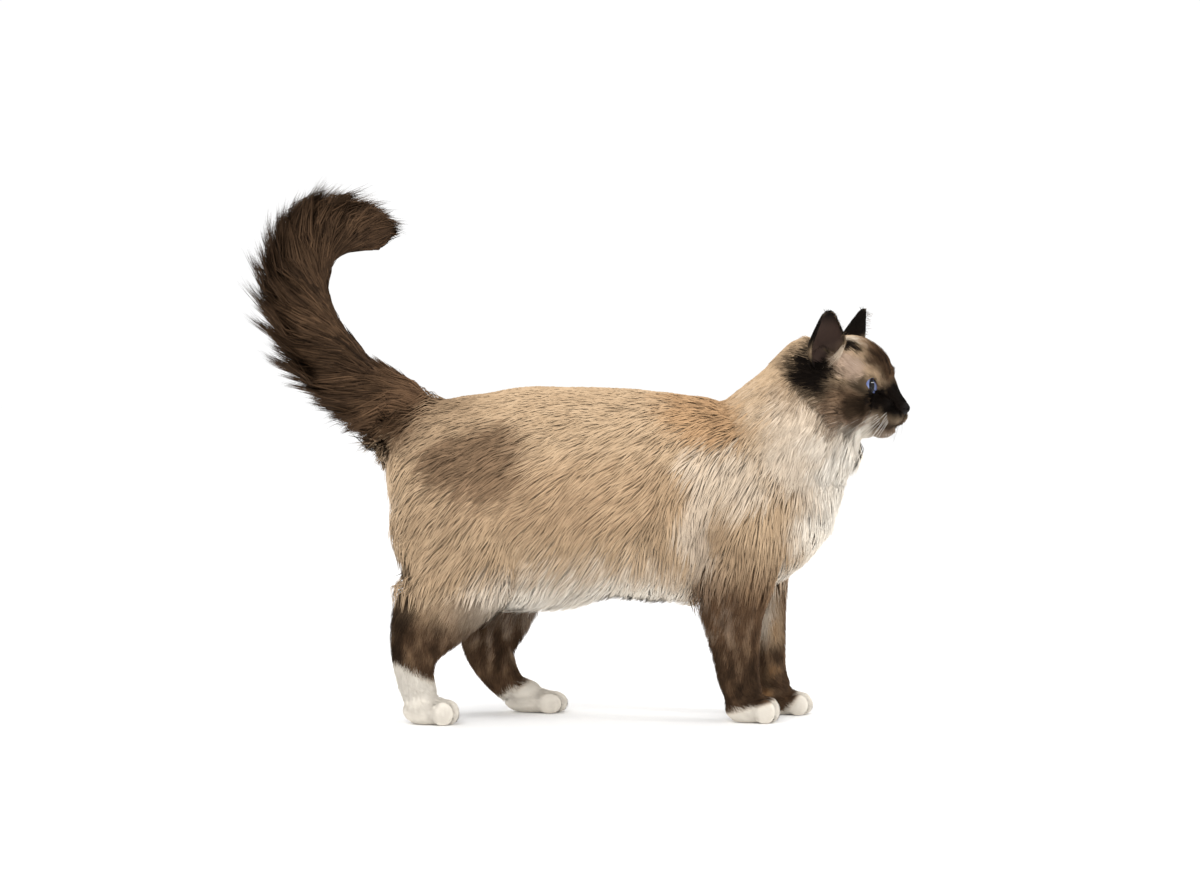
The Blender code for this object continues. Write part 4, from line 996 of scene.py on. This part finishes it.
for sign, side in ((LEFT, "left"), (RIGHT, "right")):
    forward, outward, up = gaze(sign)
    to_gaze = forward.to_track_quat("Z", "Y").to_matrix().to_4x4()
    to_place = Matrix.Translation(MIDDLE_SHIFT) @ HEAD_PLACE @ Matrix.Translation(eye_centre(sign))
    bm = sphere(72, 48, EYE_RADIUS)
    for vert in bm.verts:
        vert.co.z = min(vert.co.z, IRIS_PLANE)
    bm.transform(to_gaze)
    spots = np.array([vert.co for vert in bm.verts])
    bm.transform(to_place)
    eye = as_object("eyeball_" + side, bm)
    eye.data.materials.append(eye_material)
    carry(eye.data, "across", spots @ np.array(outward))
    carry(eye.data, "rise", spots @ np.array(up.normalized()))
    smooth_shaded(eye.data)
    bm = sphere(72, 48, EYE_RADIUS - CORNEA_GAP)
    cut = {"plane_co": (0, 0, IRIS_PLANE - CORNEA_SEAT), "plane_no": (0, 0, 1), "clear_inner": True}
    bmesh.ops.bisect_plane(bm, geom=[*bm.verts, *bm.edges, *bm.faces], **cut)
    bmesh.ops.holes_fill(bm, edges=bm.edges, sides=0)
    for vert in bm.verts:
        vert.co.z += max(vert.co.z - IRIS_PLANE, 0) * (CORNEA_BULGE - 1)
    bm.transform(to_place @ to_gaze)
    cornea = as_object("cornea_" + side, bm)
    cornea.data.materials.append(cornea_material)
    cornea.visible_shadow = False
    cornea.data.polygons.foreach_set("use_smooth", [len(face.vertices) < 5 for face in cornea.data.polygons])
    for piece in (eye, cornea):
        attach(piece, "root")
        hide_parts("eye_" + side)


# The coat: thin tapered tufts of hair over the whole skin. Each grows from a point of the hide along the
# lie of the coat, rises to the coat's outline at its tip and leans to the other tufts of its own lock.
# The lie on the body, seen from the cat's right: x and z in millimetres, the way the hair points in degrees
# up from +X, and how far a hair runs along the body in millimetres.
LIE = [
    (165, 305, 222, 26), (190, 262, 238, 30), (236, 226, 262, 26), (212, 170, 284, 34), (185, 130, 276, 30),
    (130, 200, 240, 32), (130, 140, 256, 22), (110, 275, 196, 26), (0, 282, 184, 26), (-100, 272, 186, 26),
    (-140, 258, 205, 26), (30, 200, 208, 34), (-50, 205, 204, 34), (0, 140, 238, 34), (50, 105, 262, 24),
    (-30, 100, 258, 24), (80, 160, 262, 30), (-105, 220, 205, 30), (-100, 160, 228, 28),
    (-100, 110, 240, 22), (-155, 180, 232, 30), (-150, 130, 244, 26), (-140, 60, 262, 8), (130, 60, 262, 9),
    (160, 60, 262, 9), (-70, 60, 256, 9), (130, 95, 260, 14), (-70, 90, 250, 16), (215, 262, 222, 22),
    (238, 245, 236, 22), (155, 12, 340, 4), (185, 12, 340, 4), (-115, 12, 340, 4), (-35, 12, 340, 4),
    (-138, 30, 285, 6),
]  # fmt: skip
SEED = 7


def unit(vectors):
    """Vectors brought to a length of one."""
    return vectors / np.maximum(np.linalg.norm(vectors, axis=1, keepdims=True), 1e-9)


def body_lie(points):
    """The way that the body's coat points at places, and how far it runs."""
    guides = np.array(LIE)
    across, rise = points[:, None, 0] - guides[:, 0] / 1000, points[:, None, 2] - guides[:, 1] / 1000
    gap = across**2 + rise**2
    weight = (gap + 1e-5) ** -1.5
    weight /= weight.sum(1, keepdims=True)
    angle = np.radians(guides[:, 2])
    way = np.stack([weight @ np.cos(angle), np.zeros(len(points)), weight @ np.sin(angle)], 1)
    return unit(way), weight @ guides[:, 3] * MM


tail_line = np.array([row[:3] for row in SPINES["tail"]])
TAIL_FAN = 0.55


def tail_lie(points):
    """The same on the tail: along the bone towards the tip, and out to the plume's outer edge."""
    nearest = np.argmin(((points[:, None] - tail_line[:-1]) ** 2).sum(2), 1)
    way = unit(tail_line[nearest + 1] - tail_line[nearest])
    way = way + TAIL_FAN * np.stack([-way[:, 2], way[:, 1], way[:, 0]], 1)
    share = nearest / len(tail_line)
    run = np.interp(share, (0, 0.2, 0.8, 1.0), (34, 44, 36, 15)) * MM
    return unit(way), run


# How far the hair of the head runs, in millimetres, by its distance from the nose.
NOSE_END = np.array((56, 0, -16))
HEAD_RUN = [(0, 2.4), (14, 3.2), (34, 6.0), (60, 11.0), (85, 17.0), (110, 24.0)]
HEAD_WAYS = (np.array(HEAD_PLACE.to_3x3()) / MM).T


def head_lie(points):
    """The same on the head: away from the nose, and down into the ruff behind the cheeks."""
    local = to_head(points)
    away = local - NOSE_END
    gap = np.linalg.norm(away, axis=1, keepdims=True)
    way = away / gap
    way[:, 2] -= soft_step(10, -30, local[:, 0]) * soft_step(20, -10, local[:, 2]) * 0.9
    return unit(way @ HEAD_WAYS), np.interp(gap[:, 0], *zip(*HEAD_RUN)) * MM


def ear_lie(points):
    """The same on the ears: up towards their tips."""
    side = np.sign(to_head(points)[:, 1])
    way = np.stack([np.full(len(points), 0.1), 0.4 * side, np.ones(len(points))], 1)
    return unit(way @ HEAD_WAYS), np.full(len(points), 4.0 * MM)


# The parts of the hide, face by face. The head and the neck end at planes, as the tail does.
HEAD_ROOT = ((0.2053, 0, 0.2775), (0.766, -0.135, 0.628))
NECK_ROOT = ((0.1725, 0, 0.225), (0.774, 0, 0.633))
LEG_TOP = 0.118
first, second, third = (hide[corners[:, k]] for k in range(3))
crossed = np.cross(second - first, third - first)
face_middles = hide[corners].mean(1)
face_normals = unit(crossed)
face_areas = np.linalg.norm(crossed, axis=1) / 2
soft_normals = unit(hide_normals[corners].mean(1))
hide_tree = tree_of(skin)
head_middles = to_head(face_middles)
x, y, z = face_middles.T
in_tail = (beyond(face_middles, *TAIL_ROOT) > 0) & (z > 0.23)
in_head_faces = beyond(face_middles, *HEAD_ROOT) > 0
in_neck = ~in_head_faces & (beyond(face_middles, *NECK_ROOT) > 0)
in_fore = ~in_neck & ~in_head_faces & (x > 0.086) & (z < LEG_TOP)
in_belly = (np.abs(x) < 0.085) & (z > 0.100) & (face_normals[:, 2] < -0.6)
in_hind = (x < 0.02) & (z < LEG_TOP) & (np.abs(y) > 0.012) & ~in_belly
in_torso = ~(in_tail | in_head_faces | in_neck | in_fore | in_hind)
bare = on_lining(face_middles) | (z < 0.0012)
bare |= (from_eyes(head_middles) < EYE_RADIUS + 1.25) | (from_nose(head_middles, (6.0, 8.5, 5.0)) < 1)
on_ears = in_ears[corners].all(1)


def plant(allowed, count, rng):
    """Roots spread evenly over the allowed faces: their places, normals and coat depths."""
    faces = np.flatnonzero(allowed)
    heap = np.cumsum(face_areas[faces])
    picks = (np.arange(count) + rng.uniform(0, 1, count)) / count * heap[-1]
    chosen = faces[np.minimum(np.searchsorted(heap, picks), len(faces) - 1)]
    a, b = rng.uniform(0, 1, (2, count))
    flip = a + b > 1
    a, b = np.where(flip, 1 - a, a), np.where(flip, 1 - b, b)
    shares = np.stack([1 - a - b, a, b], 1)[:, :, None]
    places = (hide[corners[chosen]] * shares).sum(1)
    return places, soft_normals[chosen], (coat_depth[corners[chosen]] * shares[:, :, 0]).sum(1)


def held_in(points, fringe):
    """Points brought back where they stand out of the coat's outline by more than their fringe."""
    held = points.copy()
    for i, point in enumerate(points):
        spot, normal, _, _ = envelope_tree.find_nearest(Vector(point))
        out = (Vector(point) - spot).dot(normal)
        if out > fringe[i]:
            held[i] -= np.array(normal) * (out - fringe[i])
    return held


def step_along(places, normals, way, stretch):
    """Moves points along the hide. A point that would hardly move runs on straight ahead."""
    ahead = places + way * stretch[:, None]
    moved, turned = ahead.copy(), normals.copy()
    for i, point in enumerate(ahead):
        found, _, face, _ = hide_tree.find_nearest(Vector(point))
        if (Vector(places[i]) - found).length > 0.35 * stretch[i]:
            moved[i] = found
            turned[i] = soft_normals[face]
    return moved, unit(turned + 0.35 * normals)


MAP_EDGE = 0.004
PATCH_SIZE = 0.003


def unwrapped(places, spine):
    """Where points lie on the unrolled surface about a spine: round it and along it, filling a square."""
    line = np.array([row[:3] for row in spine])
    nearest = np.argmin(((places[:, None] - line) ** 2).sum(2), 1)
    along = unit(np.gradient(line, axis=0))[nearest]
    offset = places - line[nearest]
    side = unit(np.array((0, 1, 0)) - along * along[:, 1:2])
    up = np.cross(along, side)
    turn = np.arctan2((offset * up).sum(1), (offset * side).sum(1))
    spots = np.stack([turn, nearest + (offset * along).sum(1) * 100], 1)
    low, high = spots.min(0), spots.max(0)
    return MAP_EDGE + (1 - 2 * MAP_EDGE) * (spots - low) / (high - low)


# Painted shade: each hair's colour is darkened towards its root, down to this share at the hide, where the
# coat's own shade falls.
PAINTED_ROOT_SHADE = 0.93
coat_material, tree, shader = new_material("guard_hair", 0.60, Specular_IOR_Level=0.04)
colour = coat_colour(tree)
reach = share_of(tree, "reach")
shade = add_node(tree, "ShaderNodeMapRange", {1: 0.0, 2: 0.65, 3: PAINTED_ROOT_SHADE, 4: 1.0}, {0: reach})
multiply = {"data_type": "RGBA", "blend_type": "MULTIPLY", 0: 1.0}
shaded = add_node(tree, "ShaderNodeMix", multiply, {6: colour, 7: shade.outputs[0]})
tree.links.new(shaded.outputs[2], shader.inputs["Base Color"])


def tufts(name, points, outs, wide, profile, chart, shares, tone, material=coat_material):
    """Closed three-sided blades through rows of points, one row for each section of the profile, as one
    piece. Chart has each tuft's place on the map, shares its colours and tone its lightness."""
    count = len(wide)
    reach = np.array([row[0] for row in profile])
    rings, ring_normals = [], []
    for k, (_, thick) in enumerate(profile[:-1]):
        ahead = unit(points[k + 1] - points[max(k - 1, 0)])
        out = unit(outs[k] - ahead * (outs[k] * ahead).sum(1, keepdims=True))
        side = np.cross(out, ahead)
        half = (wide * thick / 2)[:, None]
        rings += [points[k] - side * half, points[k] + side * half, points[k] + out * half * 0.7]
        ring_normals += [unit(out * 1.5 - side), unit(out * 1.5 + side), out]
    rings.append(points[-1])
    ring_normals.append(unit(outs[-1]))
    each = len(rings)
    steps = len(profile) - 1
    faces = [(0, 2, 1)]
    for k in range(steps - 1):
        for i in range(3):
            a, b = 3 * k + i, 3 * k + (i + 1) % 3
            faces += [(a, b, b + 3), (a, b + 3, a + 3)]
    faces += [(3 * (steps - 1) + i, 3 * (steps - 1) + (i + 1) % 3, each - 1) for i in range(3)]
    faces = (np.array(faces)[None] + np.arange(count)[:, None, None] * each).reshape(-1, 3)
    verts = np.stack(rings, 1).reshape(-1, 3) + np.array(MIDDLE_SHIFT)
    mesh = bpy.data.meshes.new(name)
    mesh.vertices.add(len(verts))
    mesh.vertices.foreach_set("co", verts.astype(np.float32).ravel())
    mesh.loops.add(faces.size)
    mesh.loops.foreach_set("vertex_index", faces.astype(np.int32).ravel())
    mesh.polygons.add(len(faces))
    mesh.polygons.foreach_set("loop_start", np.arange(0, faces.size, 3, dtype=np.int32))
    mesh.update(calc_edges=True)
    smooth_shaded(mesh)
    mesh.normals_split_custom_set_from_vertices(np.stack(ring_normals, 1).reshape(-1, 3).tolist())
    for colour, values in shares.items():
        carry(mesh, colour, np.repeat(values, each))
    carry(mesh, "tone", np.repeat(tone, each))
    carry(mesh, "reach", np.tile(np.append(np.repeat(reach[:-1], 3), 1.0), count))
    across = np.append(np.tile((-0.5, 0.5, 0.0), steps), 0.0)
    along = np.append(np.repeat(reach[:-1], 3), 1.0) - 0.5
    carry(mesh, "hair", (np.arange(count)[:, None] * 7.3 + across).ravel())
    spread = chart[:, None] + np.stack([across, along], 1)[None] * PATCH_SIZE
    spread = np.clip(spread.reshape(-1, 2), 0, 1)[faces.ravel()]
    layer = mesh.uv_layers.new(name="OFBake")
    layer.uv.foreach_set("vector", spread.astype(np.float32).ravel())
    mesh.materials.append(material)
    piece = in_scene(name, mesh)
    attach(piece, "root")
    return piece


DEEP = 12 * MM  # where the coat is deeper than this, its hair hangs rather than lies


def grow(name, allowed, count, lie, spine, seed, width, profile, *, rise=0.45, lock=12, loose=(7, 5),
         gather=0.3, uneven=0.05, drop=0.0, lift=(0.80, 1.02), length=(0.75, 1.1), least=0.0, slope=2.2,
         fringe=1.5):
    """One piece of coat. Profile gives the sections of a tuft: how far along it each lies, and its width.
    Locks of so many tufts turn and rise together, loosely, and gather at their tips. Least is the height
    where the coat has no depth of its own."""
    rng = np.random.default_rng(SEED * 100 + seed)
    places, normals, depths = plant(allowed & ~bare, count, rng)
    centres = KDTree(count // lock)
    picked = rng.permutation(count)[: count // lock]
    for i, which in enumerate(picked):
        centres.insert(places[which], i)
    centres.balance()
    clump = np.array([centres.find(point)[1] for point in places])
    clump_turn, clump_tone, clump_lift = rng.normal(0, 1, (3, len(picked)))
    turn = np.radians(np.clip(clump_turn, -2, 2)[clump] * loose[0] + rng.normal(0, loose[1], count))
    tone = np.clip(0.5 + 0.22 * clump_tone[clump] + rng.normal(0, 0.28, count), 0, 1)
    size = rng.uniform(*length, count)
    height = np.maximum(depths, least) * rng.uniform(*lift, count)
    height *= 1 + uneven * np.clip(clump_lift[clump], -1.5, 1.5)
    deep = np.maximum(height - DEEP, 0)
    run = np.maximum(lie(places)[1] * size, slope * (height - deep) + 0.8 * deep)
    shares = np.array([row[0] for row in profile])
    spots, outs = [places], [normals]
    here, normal = places, normals
    for before, after in zip(shares, shares[1:]):
        way = lie(here)[0]
        way = unit(way - normal * (way * normal).sum(1, keepdims=True))
        side = np.cross(normal, way)
        way = way * np.cos(turn)[:, None] + side * np.sin(turn)[:, None]
        here, normal = step_along(here, normal, way, run * (after - before))
        spots.append(here)
        outs.append(normal)
    points = []
    for share, spot, out in zip(shares, spots, outs):
        point = spot + out * (height * share**rise - 0.0004 * (share == 0))[:, None]
        point[:, 2] -= drop * run * share**2
        points.append(point)
    tips = points[-1]
    middle = np.zeros((len(picked), 3))
    np.add.at(middle, clump, tips)
    middle /= np.maximum(np.bincount(clump, minlength=len(picked)), 1)[:, None]
    pull = (middle[clump] - tips) * gather
    points = [point + pull * share**1.6 for share, point in zip(shares, points)]
    if fringe:
        ragged = np.abs(rng.normal(0, fringe * MM, count))
        points[1:] = [held_in(point, ragged * share) for share, point in zip(shares[1:], points[1:])]
    for point in points:
        point[:, 2] = np.maximum(point[:, 2], 0.0006)
    wide = width * rng.uniform(0.7, 1.3, count) * np.clip(size, 0.6, 1.2)
    mottle = spots[1] + rng.normal(0, 0.09, (count, 3)) * run[:, None]
    return tufts(name, points, outs, wide, profile, unwrapped(places, spine), markings(mottle), tone)


LONG = ((0.0, 0.8), (0.32, 1.0), (0.68, 0.75), (1.0, 0.0))
SHORT = ((0.0, 0.9), (0.5, 1.0), (1.0, 0.0))
STUB = ((0.0, 1.0), (1.0, 0.0))
FACE_REACH = 62
head_spine = [HEAD_PLACE @ Vector((x, 0, 0)) for x in range(60, -60, -4)]
in_face = in_head_faces & (np.linalg.norm(head_middles - NOSE_END, axis=1) < FACE_REACH)
in_cheeks = in_head_faces & ~in_face
for seed, (side, sign) in enumerate((("left", LEFT), ("right", RIGHT))):
    half = face_middles[:, 1] * sign >= 0
    furred = half & ~on_ears
    torso, neck, tail = (SPINES[name] for name in ("torso", "neck", "tail"))
    foreleg, hindleg = SPINES["foreleg_" + side], SPINES["hindleg_" + side]
    grow("flank_coat_" + side, in_torso & half, 12500, body_lie, torso, seed, 0.0013, SHORT,
         gather=0.20, drop=0.10, lift=(0.85, 1.08), fringe=2.5)
    grow("flank_down_" + side, in_torso & half, 19000, body_lie, torso, 16 + seed, 0.0019,
         STUB, gather=0.10, drop=0.05, lift=(0.55, 0.95), length=(0.6, 0.9), slope=1.8)
    grow("ruff_" + side, in_neck & half, 7500, body_lie, neck, 2 + seed, 0.0011, SHORT,
         drop=0.10, loose=(10, 6), gather=0.30, lift=(0.85, 1.08), fringe=2.5)
    grow("ruff_down_" + side, in_neck & half, 11000, body_lie, neck, 18 + seed, 0.0015, STUB,
         drop=0.05, loose=(10, 8), gather=0.10, lift=(0.45, 0.95), length=(0.6, 0.9), slope=1.8)
    grow("tail_plume_" + side, in_tail & half, 14500, tail_lie, tail, 4 + seed, 0.0014, SHORT,
         rise=0.80, lock=60, loose=(9, 5), gather=0.50, uneven=0.14, lift=(0.85, 1.45), slope=1.0, fringe=7)
    grow("hind_coat_" + side, in_hind & half, 17000, body_lie, hindleg, 6 + seed, 0.0009, STUB,
         gather=0.15)
    grow("fore_coat_" + side, in_fore & half, 16000, body_lie, foreleg, 8 + seed, 0.0009, STUB,
         gather=0.15)
    grow("face_fur_" + side, in_face & furred, 18500, head_lie, head_spine, 10 + seed, 0.0006,
         STUB, loose=(6, 6), gather=0.15, least=0.0008, fringe=0.6)
    grow("cheek_fur_" + side, in_cheeks & furred, 7000, head_lie, head_spine, 14 + seed, 0.0009,
         SHORT, loose=(6, 6), gather=0.25, least=0.0010, fringe=0.8)
    grow("ear_fur_" + side, on_ears & half, 6000, ear_lie, head_spine, 12 + seed, 0.0005, STUB,
         loose=(5, 6), gather=0.1, least=EAR_FUR, fringe=0)

# Long hairs at the ears: a pale tuft that grows from the lower front edge across the cup, and a fringe of
# fine hairs along the front edge. Each is a thin tapered strand.
EAR_TUFTS = 170
PALE_SHARE = 0.7
HEAD_TURN = HEAD_PLACE.to_3x3().normalized()
for sign, side in ((LEFT, "left"), (RIGHT, "right")):
    rng = np.random.default_rng(SEED + sign)
    _, axis, opening, forward = ear_frame(sign)
    roots, ways, lengths = [], [], []
    for i in range(EAR_TUFTS):
        low = i < PALE_SHARE * EAR_TUFTS
        row = EAR_ROWS[int(rng.uniform(4, 13) if low else rng.uniform(12, 28))]
        roots.append(HEAD_PLACE @ ear_spot(sign, row, rng.uniform(0.8, 1.0) if low else 1.0, 0.6))
        down, up = -axis.normalized() * 0.6, axis.normalized() * 0.35
        way = opening * 0.4 - forward * 0.7 + down if low else opening + up
        ways.append(HEAD_TURN @ (way.normalized() + Vector(rng.normal(0, 0.14 if low else 0.35, 3))))
        lengths.append(rng.uniform(7, 16) if low else rng.uniform(2, 8))
    roots, ways = np.array(roots), unit(np.array(ways))
    lengths = np.array(lengths)[:, None] * MM
    outs = np.tile(np.array(HEAD_TURN @ opening), (EAR_TUFTS, 1))
    back = np.array(HEAD_TURN @ -forward)
    points = [roots + (ways + back * share * 0.3) * lengths * share for share, _ in LONG]
    pale = np.arange(EAR_TUFTS) < PALE_SHARE * EAR_TUFTS
    shares = {name: np.zeros(EAR_TUFTS) for name in COAT_COLOURS}
    shares["cream"] += pale * 0.35
    shares["brown"] += ~pale * 0.8
    tufts("ear_tufts_" + side, points, [outs] * len(LONG), np.where(pale, 0.36, 0.26) * MM, LONG,
          unwrapped(roots, head_spine), shares, rng.uniform(0, 1, EAR_TUFTS))

# The whiskers: long stiff pale hairs in rows on each pad, that curve down and back, with a few over the eyes
# and short ones on the chin. Rows give the root and the way of the first and the last whisker of a row in
# the head's own frame, their number, length and thickness.
WHISKER_ROWS = [
    ((38, 15, -22), (40, 17, -29), (0.10, 1.0, -0.15), (-0.15, 0.9, -0.55), 5, 52, 0.36),
    ((32, 17, -22), (33, 18, -30), (-0.25, 1.0, -0.10), (-0.45, 0.8, -0.55), 5, 58, 0.38),
    ((26, 19, -24), (27, 20, -31), (-0.50, 0.9, -0.15), (-0.65, 0.7, -0.50), 3, 50, 0.34),
    ((23, 17, 15), (19, 20, 15), (0.25, 0.5, 1.0), (-0.10, 0.7, 1.0), 4, 24, 0.28),
    ((42, 5, -41), (34, 9, -43), (0.35, 0.2, -1.0), (0.0, 0.3, -1.0), 6, 8, 0.22),
]
WHISKER = tuple((k / 7, 1 - 0.9 * k / 7) for k in range(8))
whisker_hair, tree, shader = new_material("whisker_hair", 0.35)
shader.inputs["Base Color"].default_value = linear("#fbf6ec")
for sign, side in ((LEFT, "left"), (RIGHT, "right")):
    rng = np.random.default_rng(SEED * 3 + sign)
    roots, ways, lengths, thickness = [], [], [], []
    for first, last, first_way, last_way, number, length, thick in WHISKER_ROWS:
        for k in range(number):
            share = k / (number - 1)
            spot, way = Vector(first).lerp(last, share), Vector(first_way).lerp(last_way, share)
            roots.append(on_head(spot.x, spot.y * sign, spot.z))
            ways.append(Vector((way.x, way.y * sign, way.z)).normalized() + Vector(rng.normal(0, 0.05, 3)))
            lengths.append(length * rng.uniform(0.75, 1.0) * MM)
            thickness.append(thick * MM)
    roots, ways = np.array(roots), unit(np.array([HEAD_TURN @ way for way in ways]))
    lengths = np.array(lengths)[:, None]
    sag = np.array(HEAD_TURN @ Vector((-0.35, 0, -0.45 if sign == RIGHT else -0.10)))
    points = [roots + ways * lengths * share + sag * lengths * share**2 * 0.8 for share, _ in WHISKER]
    outs = np.tile((0.0, 0.0, 1.0), (len(roots), 1))
    tufts("whiskers_" + side, points, [outs] * len(WHISKER), np.array(thickness), WHISKER,
          unwrapped(roots, head_spine), {}, np.zeros(len(roots)), whisker_hair)

# The skin stands for the flesh of every node. It moves with them as one still body.
skin.data.transform(Matrix.Translation(MIDDLE_SHIFT))
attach(skin, "root")
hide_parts(*[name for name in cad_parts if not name.startswith("eye_")])

# The floor is plain white paper. A wide soft lamp lights the cat from the front and above on the left, with
# a small one on the right that glints in the eyes, a weak one from above and the white room.


def aim(holder, way):
    """Turns a lamp or the camera to look along a way."""
    holder.rotation_mode = "QUATERNION"
    holder.rotation_quaternion = way.to_track_quat("-Z", "Y")


paper, tree, shader = new_material("white_paper", 0.9)
shader.inputs["Base Color"].default_value = (1, 1, 1, 1)
bm = bmesh.new()
bmesh.ops.create_grid(bm, x_segments=1, y_segments=1, size=6.0)
floor = as_object("floor", bm)
floor.data.materials.append(paper)
room = bpy.data.worlds.new("room")
bpy.context.scene.world = room
room.use_nodes = True
background = room.node_tree.nodes["Background"]
background.inputs["Color"].default_value = (1, 1, 1, 1)
background.inputs["Strength"].default_value = 1.02
# Lamps: name, place, size and power. They shine on the middle of the cat.
LIT_PLACE = Vector((0, 0, 0.2))
LAMPS = [
    ("key", (-1.0, -2.2, 2.6), 2.0, 42.0),
    ("fill", (2.37, -0.73, 1.38), 0.4, 15.0),
    ("top", (0.2, 0.6, 2.4), 1.6, 16.0),
]
for name, place, size, power in LAMPS:
    lamp = bpy.data.lights.new(name, "AREA")
    lamp.size = size
    lamp.energy = power
    holder = in_scene(name, lamp)
    holder.location = place
    holder.visible_glossy = name == "fill"
    aim(holder, LIT_PLACE - Vector(place))

# The camera stands three metres to the cat's right, a little above its flank. The picture is as wide as
# VIEW_WIDTH at the cat.
CAMERA_DISTANCE = 3.0
CAMERA_ELEVATION = math.radians(3.2)
VIEW_WIDTH = 1.02
VIEW_MIDDLE = Vector((0.0153, 0, 0.2304))
FILM_WIDTH = 36.0
back = Vector((0, -math.cos(CAMERA_ELEVATION), math.sin(CAMERA_ELEVATION)))
camera = in_scene("camera", bpy.data.cameras.new("camera"))
camera.location = VIEW_MIDDLE + MIDDLE_SHIFT + back * CAMERA_DISTANCE
aim(camera, -back)
camera.data.sensor_width = FILM_WIDTH
camera.data.lens = FILM_WIDTH * CAMERA_DISTANCE / VIEW_WIDTH
bpy.context.scene.camera = camera
bpy.context.scene.view_settings.view_transform = "Standard"
